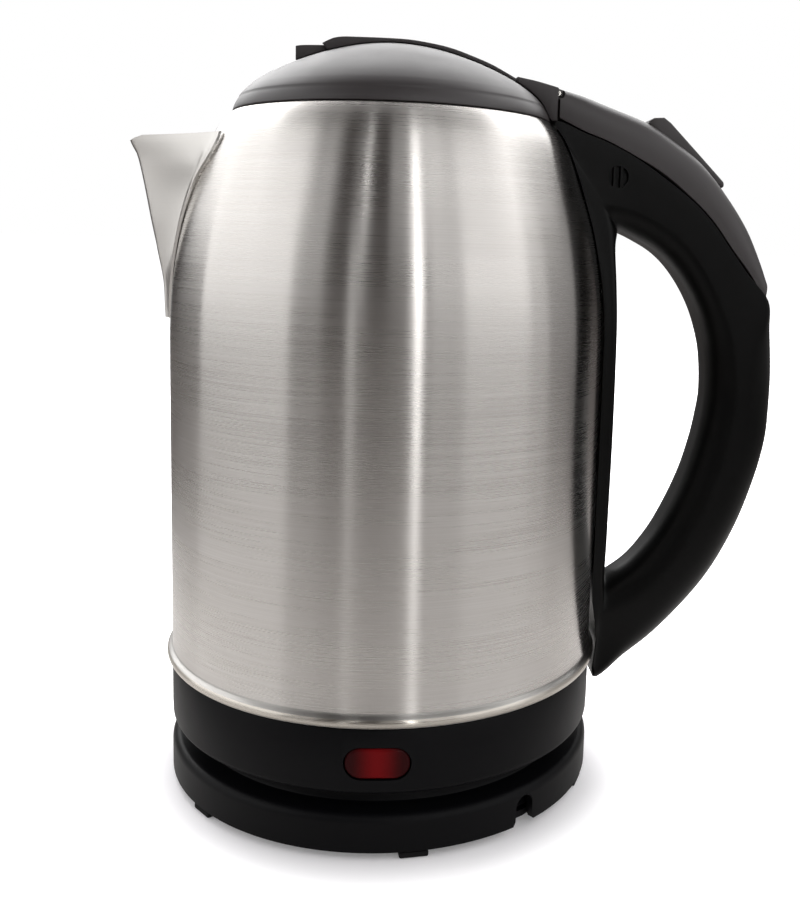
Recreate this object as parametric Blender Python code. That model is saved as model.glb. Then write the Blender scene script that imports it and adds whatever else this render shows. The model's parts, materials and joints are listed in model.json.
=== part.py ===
"""Electric kettle: steel jug with spout, black lid, handle and skirt, on a round power base.

Metres, +Z up. The jug's axis is the Z axis, the feet stand on z = 0, the spout points to -X,
the handle to +X and the lamp faces -Y. Lengths below are in millimetres and become metres
where a mesh is made.
"""
import bpy
import bmesh
import math
from mathutils import Matrix, Vector

for stale in list(bpy.data.objects):
    bpy.data.objects.remove(stale, do_unlink=True)

MM = 0.001
GAP = 0.3                     # air left between neighbouring pieces

# Jug
JUG_R = 68.3                  # outside of the straight wall
WALL = 0.8                    # steel sheet
BEAD_R = 70.0                 # rolled rim at the foot of the wall
BEAD_Z = 40.6
BEAD_ROLL = 1.7
MOUTH_Z = 209.9
SHOULDER = [(42.3, 68.3), (140.0, 68.3), (148.0, 68.0), (155.0, 67.5), (165.0, 66.0), (175.0, 64.0),
            (182.0, 61.9), (190.0, 59.0), (200.0, 55.0), (205.0, 52.9), (209.4, 50.3)]
STRAINER_R = 2.2              # punched holes behind the spout
STRAINER_ROWS = [(192.0, (-15.0, -7.5, 0.0, 7.5, 15.0)), (185.0, (-8.0, 0.0, 8.0)),
                 (178.0, (-4.5, 4.5)), (170.0, (0.0,)), (163.0, (0.0,))]

# Skirt and lamp
SKIRT_R = 68.4
SKIRT_LOW = 19.0
SKIRT_TOP = 38.4
SKIRT_WALL = 2.2
LAMP_X = -1.2
LAMP_Z = 28.5
LAMP_W = 18.2
LAMP_H = 8.8

# Power base
BASE_R = 68.5
BASE_LOW = 2.1
BASE_EDGE_Z = 13.2            # outer shelf; the kettle stands on the plateau inside it
PLATEAU_R = 60.0
PLATEAU_Z = 18.7
NOTCH_AZ = -52.0              # where the cord leaves the rim, degrees from +X
NOTCH_W = 6.6
NOTCH_TOP = 11.0
FOOT_AZ = [-142.0 + 60.0 * i for i in range(6)]
FOOT_H = 1.8

# Lid
DOME = [(0.0, 231.1), (6.0, 230.8), (12.0, 230.0), (18.0, 228.6), (24.0, 226.7), (30.0, 224.4),
        (36.0, 221.6), (40.0, 219.4), (43.0, 217.6), (46.0, 215.2), (48.4, 212.6), (49.4, 211.3)]
DOME_T = 2.0
LID_LIP_R = 50.3
LID_LOW = 210.2
STRAP_W = 11.0                # half width
KNUCKLE_W = 11.5              # half width
HINGE = (50.7, 217.7)         # pin axis, x and z
BARREL_R = 1.7
PIN_R = 0.8

# Rocker switch, drawn along the handle's back: s runs down the back, n out of it
ROCKER_AT = (82.0, 209.3)
ROCKER_TO = (106.5, 190.8)
ROCKER_PIVOT = (14.0, -1.0)
ROCKER_W = 6.5                # half width

ROUND = 48                    # facets on the big round pieces

BLACK = ((0.012, 0.011, 0.012), 0.38, 0.0)
BLACK_LID = ((0.02, 0.02, 0.021), 0.34, 0.0)
RUBBER = ((0.02, 0.02, 0.02), 0.8, 0.0)
STEEL = ((0.60, 0.57, 0.54), 0.3, 1.0)
BRIGHT = ((0.75, 0.74, 0.72), 0.15, 1.0)
BRASS = ((0.72, 0.52, 0.22), 0.3, 1.0)
ALUMINIUM = ((0.78, 0.79, 0.8), 0.4, 1.0)
RED = ((0.22, 0.01, 0.012), 0.2, 0.0)
CREAM = ((0.75, 0.72, 0.65), 0.5, 0.0)
CLEAR = ((0.85, 0.5, 0.4), 0.1, 0.0)
SILICONE = ((0.7, 0.7, 0.68), 0.6, 0.0)


def add(name, bm, look, sharp=35.0):
    """Turn a bmesh in millimetres into a named object in metres with its own material."""
    bmesh.ops.recalc_face_normals(bm, faces=bm.faces)
    bmesh.ops.scale(bm, vec=(MM, MM, MM), verts=bm.verts)
    mesh = bpy.data.meshes.new(name)
    bm.to_mesh(mesh)
    bm.free()
    mesh.shade_smooth()
    mesh.set_sharp_from_angle(angle=math.radians(sharp))
    obj = bpy.data.objects.new(name, mesh)
    bpy.context.collection.objects.link(obj)
    if look is not None:
        colour, rough, metal = look
        mat = bpy.data.materials.new(name)
        mat.use_nodes = True
        skin = mat.node_tree.nodes["Principled BSDF"]
        skin.inputs["Base Color"].default_value = (*colour, 1.0)
        skin.inputs["Roughness"].default_value = rough
        skin.inputs["Metallic"].default_value = metal
        mesh.materials.append(mat)
    return obj


def combine(obj, tools, how="DIFFERENCE"):
    """Cut the tools out of obj, or join them on, and drop the tools."""
    for tool in tools:
        mod = obj.modifiers.new("cut", "BOOLEAN")
        mod.operation = how
        mod.solver = "EXACT"
        mod.object = tool
        graph = bpy.context.evaluated_depsgraph_get()
        mesh = bpy.data.meshes.new_from_object(obj.evaluated_get(graph))
        obj.modifiers.clear()
        mesh.name = obj.name
        obj.data = mesh
        bpy.data.objects.remove(tool, do_unlink=True)
    mesh = obj.data
    bm = bmesh.new()
    bm.from_mesh(mesh)
    bmesh.ops.remove_doubles(bm, verts=bm.verts, dist=1e-6)
    bmesh.ops.dissolve_degenerate(bm, edges=bm.edges, dist=1e-7)
    bm.to_mesh(mesh)
    bm.free()
    mesh.shade_smooth()
    mesh.set_sharp_from_angle(angle=math.radians(35.0))
    return obj


def skin_rings(rings, closed=False):
    """Closed surface through equal rings of points: tube with end caps, or a closed loop."""
    bm = bmesh.new()
    loops = [[bm.verts.new(p) for p in ring] for ring in rings]
    count = len(loops[0])
    pairs = list(zip(loops, loops[1:]))
    if closed:
        pairs.append((loops[-1], loops[0]))
    for low, high in pairs:
        for i in range(count):
            j = (i + 1) % count
            bm.faces.new((low[i], low[j], high[j], high[i]))
    if not closed:
        bm.faces.new(loops[0])
        bm.faces.new(loops[-1])
    return bm


def lathe(profile, centre=(0.0, 0.0), sides=ROUND):
    """Turn a closed outline of (r, z) about a vertical axis."""
    bm = bmesh.new()
    columns = []
    for r, z in profile:
        if r <= 0.0:
            columns.append([bm.verts.new((centre[0], centre[1], z))] * sides)
            continue
        ring = []
        for k in range(sides):
            a = 2.0 * math.pi * k / sides
            ring.append(bm.verts.new((centre[0] + r * math.cos(a), centre[1] + r * math.sin(a), z)))
        columns.append(ring)
    for a, b in zip(columns, columns[1:] + columns[:1]):
        for k in range(sides):
            n = (k + 1) % sides
            corners = []
            for v in (a[k], a[n], b[n], b[k]):
                if v not in corners:
                    corners.append(v)
            if len(corners) > 2:
                bm.faces.new(corners)
    return bm


def prism_y(outline, y0, y1):
    """Extrude an (x, z) outline along Y."""
    return skin_rings([[(x, y0, z) for x, z in outline], [(x, y1, z) for x, z in outline]])


def rod(start, end, radius, sides=16):
    """Round bar between two points."""
    a = Vector(start)
    b = Vector(end)
    turn = (b - a).to_track_quat("Z", "Y").to_matrix()
    rings = []
    turns = [2 * math.pi * k / sides for k in range(sides)]
    for at in (a, b):
        rings.append([at + turn @ Vector((radius * math.cos(t), radius * math.sin(t), 0.0)) for t in turns])
    return skin_rings([[tuple(p) for p in ring] for ring in rings])


def block(low, high, bevel=0.0):
    """Box between two corners, with rounded edges if asked."""
    bm = bmesh.new()
    bmesh.ops.create_cube(bm, size=1.0)
    size = [h - l for l, h in zip(low, high)]
    mid = [(h + l) / 2 for l, h in zip(low, high)]
    bmesh.ops.scale(bm, vec=size, verts=bm.verts)
    bmesh.ops.translate(bm, vec=mid, verts=bm.verts)
    if bevel:
        bmesh.ops.bevel(bm, geom=bm.edges[:], offset=bevel, segments=2, affect="EDGES", profile=0.5)
    return bm


def along(table, at):
    """Straight-line reading of a sorted table of (key, value)."""
    if at <= table[0][0]:
        return table[0][1]
    for (a, va), (b, vb) in zip(table, table[1:]):
        if at <= b:
            return va + (vb - va) * (at - a) / (b - a)
    return table[-1][1]


def kettle_r(z):
    """Outside radius of skirt, bead and jug at a height."""
    if z < SKIRT_TOP + 0.3:
        return SKIRT_R
    if z < 43.0:
        return BEAD_R
    return along(SHOULDER, z)


def dome_z(x, y):
    return along(DOME, math.hypot(x, y))


def off_wall(p, gap):
    """Push a point straight out from the axis until it clears the kettle's outside."""
    x, y, z = p
    r = math.hypot(x, y)
    need = kettle_r(z) + gap
    if r < need:
        return (x * need / r, y * need / r, z)
    return p


def stadium(width, height, steps=8):
    """Outline of a long oval, (u, v) about its centre."""
    r = height / 2
    run = width / 2 - r
    pts = []
    for side, start in ((1, -90.0), (-1, 90.0)):
        for k in range(steps + 1):
            a = math.radians(start + 180.0 * k / steps)
            pts.append((side * run + r * math.cos(a), r * math.sin(a)))
    return pts


def screw(name, x, y, head_low, head_high, head_r, shank_r, tip):
    """Pan-head screw with its head at the bottom and its shank upwards."""
    shape = [(0.0, head_low), (head_r - 0.5, head_low), (head_r, head_low + 0.5), (head_r, head_high),
             (shank_r, head_high), (shank_r, tip - 1.0), (0.0, tip)]
    add(name, lathe(shape, (x, y), 12), BRIGHT)


def ring_points(radius, count, start):
    return [(radius * math.cos(math.radians(start + 360.0 * i / count)),
             radius * math.sin(math.radians(start + 360.0 * i / count))) for i in range(count)]


# ---------------------------------------------------------------- power base
base_housing = add("base_housing", lathe([
    (BASE_R, BASE_LOW), (BASE_R, 10.6), (68.1, 12.0), (67.3, 12.9), (66.2, BASE_EDGE_Z), (60.8, BASE_EDGE_Z),
    (60.2, 13.6), (PLATEAU_R, 18.3), (59.6, PLATEAU_Z), (17.3, PLATEAU_Z), (17.3, 16.2), (57.6, 16.2),
    (57.6, 11.0), (65.8, 11.0), (65.8, BASE_LOW)]), BLACK)

notch = [(-NOTCH_W / 2, -1.0), (NOTCH_W / 2, -1.0)]
for step in range(9):
    turn = math.pi * step / 8
    notch.append((NOTCH_W / 2 * math.cos(turn), NOTCH_TOP - NOTCH_W / 2 + NOTCH_W / 2 * math.sin(turn)))
notch_tool = prism_y(notch, -75.0, -59.0)
bmesh.ops.rotate(notch_tool, cent=(0, 0, 0), matrix=Matrix.Rotation(math.radians(NOTCH_AZ + 90.0), 3, "Z"),
                 verts=notch_tool.verts)
combine(base_housing, [add("tool", notch_tool, None)])

base_cover = add("base_cover", lathe([
    (0.0, 0.0), (26.0, 0.0), (27.0, 0.8), (27.0, 1.7), (22.0, 2.4), (22.0, 7.6), (50.0, 7.6), (51.0, 2.4),
    (65.4, 2.4), (65.4, 4.4), (52.8, 4.4), (51.8, 9.6), (20.0, 9.6), (20.0, 2.2),
    (0.0, 2.2)], sides=36), BLACK)
for number, (sx, sy) in enumerate(ring_points(14.0, 3, 30.0), 1):
    combine(base_cover, [add("tool", rod((sx, sy, -1.0), (sx, sy, 4.0), 3.0, 12), None)])
    screw("base_screw_%d" % number, sx, sy, 0.5, 1.9, 2.6, 1.3, 11.0)

for number, az in enumerate(FOOT_AZ, 1):
    foot = block((61.6, -4.2, 0.0), (68.0, 4.2, FOOT_H), 0.5)
    bmesh.ops.rotate(foot, cent=(0, 0, 0), matrix=Matrix.Rotation(math.radians(az), 3, "Z"), verts=foot.verts)
    add("foot_%d" % number, foot, RUBBER)

# Strain-relief block just inside the notch, where the cord would be held
inlet = block((-5.0, -64.6, 4.9), (5.0, -56.0, 10.4), 0.8)
inlet_tools = rod((0.0, -68.0, 7.6), (0.0, -54.0, 7.6), 2.1, 16)
for piece in (inlet, inlet_tools):
    bmesh.ops.rotate(piece, cent=(0, 0, 0), matrix=Matrix.Rotation(math.radians(NOTCH_AZ + 90.0), 3, "Z"),
                     verts=piece.verts)
combine(add("cord_inlet", inlet, BLACK), [add("tool", inlet_tools, None)])

add("base_connector", lathe([
    (3.2, 11.2), (17.0, 11.2), (17.0, PLATEAU_Z), (10.6, PLATEAU_Z), (10.2, 19.2), (10.0, 26.4), (9.6, 26.8),
    (8.0, 26.8), (8.0, 15.8), (5.6, 15.8), (5.6, 26.8), (3.2, 26.8)], sides=28), BLACK)
add("base_contact_ring", lathe([(6.3, 16.2), (7.3, 16.2), (7.3, 25.4), (6.3, 25.4)], sides=32), BRASS)
add("base_centre_pin",
    lathe([(0.0, 11.4), (2.6, 11.4), (2.6, 24.2), (1.8, 25.4), (0.0, 25.8)], sides=16), BRASS)

# ---------------------------------------------------------------- skirt and what it hides
skirt = add("skirt", lathe([
    (16.8, SKIRT_LOW), (66.4, SKIRT_LOW), (67.6, 19.5), (68.3, 20.6), (SKIRT_R, 22.0), (SKIRT_R, SKIRT_TOP),
    (SKIRT_R - SKIRT_WALL, SKIRT_TOP), (SKIRT_R - SKIRT_WALL, 21.2), (16.8, 21.2)]), BLACK)
window = [(LAMP_X + u, LAMP_Z + v) for u, v in stadium(LAMP_W + 2 * GAP, LAMP_H + 2 * GAP)]
combine(skirt, [add("tool", prism_y(window, -72.0, -60.0), None)])
for number, (sx, sy) in enumerate(ring_points(50.0, 3, 80.0), 1):
    combine(skirt, [add("tool", rod((sx, sy, 18.0), (sx, sy, 22.0), 3.0, 12), None)])
    screw("skirt_screw_%d" % number, sx, sy, 19.4, 20.9, 2.6, 1.4, 30.0)

# The lens follows the skirt's curve and stands a little proud of it
lens_ring = stadium(LAMP_W, LAMP_H)
lens_front = []
lens_back = []
for u, v in lens_ring:
    x = LAMP_X + u
    front = -math.sqrt((SKIRT_R + 0.1) ** 2 - x * x)
    lens_front.append((x, front, LAMP_Z + v))
    lens_back.append((x, front + 3.2, LAMP_Z + v))
add("lamp_lens", skin_rings([lens_front, lens_back]), RED)
add("lamp_bulb", rod((LAMP_X - 5.0, -60.6, LAMP_Z), (LAMP_X + 5.0, -60.6, LAMP_Z), 2.2, 12), CLEAR)

add("kettle_socket", lathe([
    (10.6, 19.3), (16.3, 19.3), (16.3, 29.8), (0.0, 29.8), (0.0, 27.6), (10.6, 27.6)], sides=28), BLACK)
add("thermostat_unit", block((-20.0, -18.0, 30.2), (20.0, 18.0, 39.5), 1.0), CREAM)
tube = []
for step in range(8):
    turn = 2 * math.pi * step / 8
    tube.append((38.0 + 3.0 * math.cos(turn), 36.5 + 3.0 * math.sin(turn)))
add("heating_element", lathe(tube, sides=28), BRIGHT)
add("heat_spreader",
    lathe([(0.0, 39.9), (47.0, 39.9), (48.0, 40.9), (48.0, 42.6), (0.0, 42.6)], sides=28), ALUMINIUM)
add("heater_plate", lathe([(0.0, 43.0), (67.1, 43.0), (67.1, 44.0), (0.0, 44.0)], sides=40), STEEL)

# ---------------------------------------------------------------- jug, spout and collar
outside = []
for step in range(7):
    turn = math.radians(-90.0 + 30.0 * step)
    outside.append((JUG_R + BEAD_ROLL * math.cos(turn), BEAD_Z + BEAD_ROLL * math.sin(turn)))
for z, r in SHOULDER[1:]:
    outside.append((r, z))
outside.append((49.7, MOUTH_Z))
inside = [(48.9, MOUTH_Z - 0.5)]
for z, r in SHOULDER[-2:0:-2]:
    inside.append((r - WALL, z - 0.3))
inside.append((JUG_R - WALL, BEAD_Z - BEAD_ROLL))
jug = add("jug_wall", lathe(outside + inside), STEEL)
for z, places in STRAINER_ROWS:
    combine(jug, [add("tool", rod((-75.0, y, z), (-40.0, y, z), STRAINER_R, 10), None) for y in places])

SPOUT_NOSE = [(146.0, 70.4), (150.0, 70.6), (156.0, 71.2), (160.0, 71.9), (164.0, 72.7), (169.0, 73.6),
              (175.0, 74.8),
              (180.0, 75.7), (186.0, 76.8), (190.5, 77.7), (195.0, 78.6), (198.0, 80.2), (201.0, 80.9)]
SPOUT_HALF = [(146.0, 1.4), (150.0, 2.6), (156.0, 4.4), (164.0, 6.6), (172.0, 9.0), (180.0, 12.0),
              (185.0, 14.6),
              (189.0, 18.0), (192.0, 21.4), (195.0, 24.0), (198.0, 25.6), (201.0, 26.4)]
SPOUT_T = 0.8
FLANGE = 1.8


def spout_half(z):
    """Outside and inside lines of one half of the spout at a height, nose first."""
    nose = -along(SPOUT_NOSE, z)
    half = along(SPOUT_HALF, z)
    wall = kettle_r(z)
    fit = min(1.0, half / 10.0)
    low = wall + GAP + 0.1
    high = low + SPOUT_T
    seam = (-math.sqrt(high ** 2 - half ** 2), half)
    end_y = half + FLANGE
    outer = [(nose, 0.0), (nose + 0.5 * fit, 2.2 * fit), (nose + 1.8 * fit, 4.4 * fit)]
    last = outer[-1]
    for f in (0.35, 0.7):
        outer.append((last[0] + (seam[0] - last[0]) * f, last[1] + (seam[1] - last[1]) * f))
    outer.append(seam)
    outer.append((-math.sqrt(high ** 2 - end_y ** 2), end_y))
    inner = []
    for i, (x, y) in enumerate(outer):
        if i == 0:
            inner.append((x + SPOUT_T * 1.1, 0.0))
            continue
        if i >= len(outer) - 2:
            inner.append((-math.sqrt(low ** 2 - y ** 2), y))
            continue
        ax, ay = outer[i - 1]
        bx, by = outer[i + 1]
        run = math.hypot(bx - ax, by - ay)
        inner.append((x + SPOUT_T * (by - ay) / run, y - SPOUT_T * (bx - ax) / run))
    return outer, inner


spout_bm = bmesh.new()
spout_rows = []
for z in (146.0, 150.0, 156.0, 164.0, 172.0, 180.0, 185.0, 189.0, 192.0, 195.0, 198.0, 201.0):
    outer, inner = spout_half(z)
    line = []
    for (ox, oy), (ix, iy) in [(o, i) for o, i in zip(reversed(outer), reversed(inner))]:
        line.append((off_wall((ox, oy, z), GAP + 0.9), off_wall((ix, iy, z), GAP + 0.1)))
    for (ox, oy), (ix, iy) in list(zip(outer, inner))[1:]:
        line.append((off_wall((ox, -oy, z), GAP + 0.9), off_wall((ix, -iy, z), GAP + 0.1)))
    spout_rows.append([(spout_bm.verts.new(o), spout_bm.verts.new(i)) for o, i in line])
for low_row, high_row in zip(spout_rows, spout_rows[1:]):
    for k in range(len(low_row) - 1):
        spout_bm.faces.new((low_row[k][0], low_row[k + 1][0], high_row[k + 1][0], high_row[k][0]))
        spout_bm.faces.new((low_row[k][1], low_row[k + 1][1], high_row[k + 1][1], high_row[k][1]))
    for k in (0, len(low_row) - 1):
        spout_bm.faces.new((low_row[k][0], low_row[k][1], high_row[k][1], high_row[k][0]))
for row in (spout_rows[0], spout_rows[-1]):
    for k in range(len(row) - 1):
        spout_bm.faces.new((row[k][0], row[k + 1][0], row[k + 1][1], row[k][1]))
add("spout", spout_bm, STEEL)

add("mouth_collar", lathe([(45.8, 201.0), (48.5, 201.0), (48.5, 209.8), (45.8, 209.8)], sides=40), BLACK)

# ---------------------------------------------------------------- handle
# Half sections from the far side (u = 1) to the finger side (u = 0); v is the share of the half width
SECTION_ROUND = [(1.0, 0.0), (0.985, 0.42), (0.92, 0.74), (0.76, 0.94), (0.5, 1.0), (0.24, 0.94), (0.08, 0.74),
                 (0.015, 0.42), (0.0, 0.0)]
SECTION_FLAT = [(1.0, 0.0), (1.0, 0.5), (1.0, 1.0), (0.8, 1.0), (0.5, 1.0), (0.24, 0.94), (0.08, 0.74),
                (0.015, 0.42), (0.0, 0.0)]
# Finger side x, z; far side x, z; half widths there; share of the flat section; share of the wrap round the jug
HANDLE = [
    (70.9, 171.0, 64.9, 171.0, 13.5, 14.2, 1.0, 1.0), (71.6, 175.2, 61.5, 184.5, 13.5, 14.2, 1.0, 0.9),
    (72.2, 175.9, 57.2, 196.8, 13.5, 14.0, 1.0, 0.7), (73.0, 176.0, 51.6, 209.9, 13.4, 13.6, 1.0, 0.5),
    (75.0, 175.2, 59.5, 207.6, 13.2, 13.6, 1.0, 0.0), (78.4, 173.6, 68.0, 205.8, 13.0, 13.6, 1.0, 0.0),
    (84.8, 170.0, 79.3, 200.8, 13.0, 13.5, 1.0, 0.0), (91.1, 164.3, 94.7, 190.9, 13.0, 13.5, 1.0, 0.0),
    (96.2, 157.2, 103.5, 182.8, 13.0, 13.5, 1.0, 0.0), (100.0, 149.8, 110.8, 172.7, 13.0, 13.3, 1.0, 0.0),
    (102.5, 141.5, 116.2, 164.8, 13.0, 13.0, 1.0, 0.0), (103.6, 134.9, 120.7, 155.6, 13.0, 13.0, 0.9, 0.0),
    (104.1, 128.5, 124.6, 147.0, 13.0, 13.0, 0.2, 0.0), (104.1, 122.0, 126.3, 134.0, 13.0, 13.0, 0.0, 0.0),
    (103.2, 115.0, 126.3, 121.0, 13.0, 13.0, 0.0, 0.0), (101.8, 107.8, 125.2, 109.0, 13.0, 13.0, 0.0, 0.0),
    (98.9, 97.4, 122.0, 94.8, 13.0, 13.0, 0.0, 0.0), (94.7, 87.0, 116.0, 77.8, 13.0, 13.0, 0.0, 0.0),
    (89.1, 76.5, 106.8, 60.9, 12.8, 12.8, 0.0, 0.0), (82.6, 67.8, 93.2, 43.7, 12.5, 12.5, 0.0, 0.0),
    (77.0, 62.8, 82.2, 33.0, 12.2, 12.2, 0.2, 0.3), (74.6, 61.2, 73.6, 25.2, 12.0, 12.0, 0.6, 0.6),
    (74.0, 62.6, 71.3, 44.5, 12.0, 12.2, 1.0, 1.0), (73.8, 67.0, 69.0, 58.0, 12.2, 12.5, 1.0, 1.0),
    (73.8, 80.0, 69.0, 80.0, 12.5, 13.0, 1.0, 1.0), (74.1, 104.0, 69.0, 104.0, 13.0, 13.6, 1.0, 1.0),
    (73.9, 125.0, 69.0, 125.0, 13.2, 14.0, 1.0, 1.0), (73.4, 146.0, 68.8, 146.0, 13.4, 14.2, 1.0, 1.0),
    (72.2, 160.0, 67.4, 160.0, 13.5, 14.2, 1.0, 1.0)]


def handle_ring(station):
    px, pz, qx, qz, wide_p, wide_q, flat, wrap = station
    half = []
    for (ru, rv), (fu, fv) in zip(SECTION_ROUND, SECTION_FLAT):
        u = ru + (fu - ru) * flat
        v = rv + (fv - rv) * flat
        half.append((u, v))
    ring = []
    for side, pts in ((1, half), (-1, half[-2:0:-1])):
        for u, v in pts:
            y = side * v * (wide_p + (wide_q - wide_p) * u)
            x = px + (qx - px) * u
            z = pz + (qz - pz) * u
            bend = kettle_r(z)
            x -= wrap * (0.5 + 0.5 * u) * (bend - math.sqrt(bend * bend - y * y))
            ring.append(off_wall((x, y, z), GAP + 0.4))
    return ring


handle = add("handle_body", skin_rings([handle_ring(s) for s in HANDLE], closed=True), BLACK)

# Cover over the top arm: seam side x, z; outer side x, z; half width
COVER = [
    (50.95, 211.4, 50.95, 219.4, 12.4), (59.5, 208.3, 59.3, 217.7, 13.0), (68.0, 206.4, 69.0, 214.5, 13.4),
    (79.4, 201.5, 80.8, 210.2, 13.5), (86.6, 197.6, 89.7, 204.7, 13.5), (94.9, 191.7, 98.2, 198.5, 13.5),
    (103.7, 183.5, 107.2, 190.3, 13.5), (111.0, 173.4, 114.7, 179.9, 13.3), (116.5, 165.4, 119.5, 169.9, 13.0),
    (120.9, 156.6, 121.9, 162.6, 12.6)]
COVER_SECTION = [(0.0, 0.0), (0.0, 0.6), (0.0, 1.0), (0.35, 1.0), (0.66, 0.93), (0.88, 0.74),
                 (0.98, 0.42), (1.0, 0.0)]
cover_rings = []
for px, pz, qx, qz, wide in COVER:
    ring = []
    for side, pts in ((1, COVER_SECTION), (-1, COVER_SECTION[-2:0:-1])):
        for u, v in pts:
            ring.append((px + (qx - px) * u, side * v * wide, pz + (qz - pz) * u))
    cover_rings.append(ring)
cover = add("handle_cover", skin_rings(cover_rings), BLACK)

# Frame along the handle's back for the rocker and its well
back_len = math.hypot(ROCKER_TO[0] - ROCKER_AT[0], ROCKER_TO[1] - ROCKER_AT[1])
BACK = ((ROCKER_TO[0] - ROCKER_AT[0]) / back_len, (ROCKER_TO[1] - ROCKER_AT[1]) / back_len)


def on_back(s, n):
    """Point (x, z) at s along the handle's back and n out of it."""
    return (ROCKER_AT[0] + BACK[0] * s - BACK[1] * n, ROCKER_AT[1] + BACK[1] * s + BACK[0] * n)


pivot = on_back(*ROCKER_PIVOT)
well = [on_back(s, n) for s, n in ((-3.0, -0.5), (-2.6, -4.0), (14.0, -4.9), (29.5, -3.6),
                                   (30.8, 0.0), (30.8, 8.0),
                                   (-3.0, 8.0))]
combine(cover, [add("tool", prism_y(well, -ROCKER_W - 0.4, ROCKER_W + 0.4), None),
                add("tool", rod((pivot[0], -10.3, pivot[1]), (pivot[0], 10.3, pivot[1]), 1.3, 16), None)])
rocker_line = [on_back(s, n) for s, n in ((-1.9, -0.9), (14.0, -3.7), (29.2, -0.9), (29.8, 0.8), (28.8, 3.0),
                                          (3.6, 5.3), (0.8, 4.7), (-1.6, 2.2), (-2.3, 0.3))]
rocker = add("rocker_switch", prism_y(rocker_line, -ROCKER_W, ROCKER_W), BLACK)
combine(rocker, [add("tool", rod((pivot[0], -9.0, pivot[1]), (pivot[0], 9.0, pivot[1]), 1.3, 16), None)])
add("rocker_pin", rod((pivot[0], -10.0, pivot[1]), (pivot[0], 10.0, pivot[1]), 1.0, 12), BRIGHT)

# Steam switch in a pocket of the handle body, right under the rocker
pocket = [on_back(s, n) for s, n in ((5.0, -14.0), (23.0, -14.0), (23.0, -5.0), (5.0, -5.0))]
unit = [on_back(s, n) for s, n in ((6.0, -13.5), (22.0, -13.5), (22.0, -9.6), (6.0, -9.6))]
combine(handle, [add("tool", prism_y(pocket, -8.0, 8.0), None)])
add("steam_switch", prism_y(unit, -7.4, 7.4), CREAM)

# Hinge: centre barrel on the lid's knuckle, outer barrels on the cover, one pin through all three
def barrel(y0, y1, radius, sides=20):
    return add("tool", rod((HINGE[0], y0, HINGE[1]), (HINGE[0], y1, HINGE[1]), radius, sides), None)


combine(cover, [barrel(-4.4, 4.4, BARREL_R + GAP)])
combine(cover, [barrel(4.4, 10.4, BARREL_R), barrel(-10.4, -4.4, BARREL_R)], "UNION")
combine(cover, [barrel(-10.0, 10.0, PIN_R + GAP, 16)])
add("hinge_pin", rod((HINGE[0], -9.7, HINGE[1]), (HINGE[0], 9.7, HINGE[1]), PIN_R, 12), BRIGHT)

# Round vent in both sides of the handle with two upright bars left standing
VENT = (69.8, 192.8)
for side in (-1, 1):
    vent = add("tool", rod((VENT[0], side * 11.6, VENT[1]), (VENT[0], side * 16.0, VENT[1]), 3.3, 20), None)
    near, far = sorted((side * 11.0, side * 13.2))
    bars = [add("tool", block((VENT[0] + x - 0.35, near, VENT[1] - 4.0),
                              (VENT[0] + x + 0.35, far, VENT[1] + 4.0)), None) for x in (-1.1, 1.1)]
    combine(vent, bars)
    combine(handle, [vent])

# Screw up into the lower end of the handle
SCREW_X = 80.0
combine(handle, [add("tool", rod((SCREW_X, 0.0, 26.0), (SCREW_X, 0.0, 38.5), 3.2, 16), None),
                 add("tool", rod((SCREW_X, 0.0, 38.0), (SCREW_X, 0.0, 50.5), 1.8, 12), None)])
screw("handle_screw", SCREW_X, 0.0, 36.2, 38.0, 2.8, 1.4, 50.0)

# ---------------------------------------------------------------- lid
outer_dome = list(DOME) + [(49.9, 211.1), (LID_LIP_R, 210.9), (LID_LIP_R, LID_LOW + 0.1), (50.0, LID_LOW)]
inner_dome = [(47.4, LID_LOW), (46.7, 211.8), (42.0, 216.1), (35.3, 219.8), (23.5, 224.8),
              (11.8, 228.0), (0.0, 229.1)]
dome = add("lid_dome", lathe(outer_dome + inner_dome, sides=40), BLACK_LID)
combine(dome, [add("tool", block((-26.2, -3.2, 220.0), (-15.6, 3.2, 232.0)), None)])


def saddle(xs, ys, top, bottom):
    """Closed block over a grid, with a top and a bottom height at each point."""
    bm = bmesh.new()
    grids = []
    for height in (top, bottom):
        grids.append([[bm.verts.new((x, y, height(x, y))) for y in ys] for x in xs])
    for grid in grids:
        for i in range(len(xs) - 1):
            for j in range(len(ys) - 1):
                bm.faces.new((grid[i][j], grid[i + 1][j], grid[i + 1][j + 1], grid[i][j + 1]))
    upper, lower = grids
    for i in range(len(xs) - 1):
        for j in (0, len(ys) - 1):
            bm.faces.new((upper[i][j], upper[i + 1][j], lower[i + 1][j], lower[i][j]))
    for j in range(len(ys) - 1):
        for i in (0, len(xs) - 1):
            bm.faces.new((upper[i][j], upper[i][j + 1], lower[i][j + 1], lower[i][j]))
    return bm


STRAP_LINE = [(-19.0, 232.3), (3.0, 232.5), (11.0, 231.6), (17.3, 230.4), (23.6, 228.4),
              (30.0, 226.1), (37.1, 222.4)]
CHANNEL_W = 9.4               # half width of the hollow under the strap


def strap_top(x, y):
    return along(STRAP_LINE, x) - 1.0 * (abs(y) / STRAP_W) ** 3


def strap_bottom(x, y):
    if abs(y) > CHANNEL_W + 0.1:
        return min(dome_z(x, y) + GAP + 0.1, strap_top(x, y) - 0.6)
    return max(dome_z(x, y) + GAP + 0.1, strap_top(x, y) - 1.3)


strap_ys = [-11.0, -10.3, -9.6, -9.4, -5.0, 0.0, 5.0, 9.4, 9.6, 10.3, 11.0]
strap_xs = [-19.0, -12.0, -6.0, 0.0, 4.0, 10.0, 16.0, 22.0, 27.0, 32.0, 37.1]
add("lid_strap", saddle(strap_xs, strap_ys, strap_top, strap_bottom), BLACK_LID)

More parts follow.
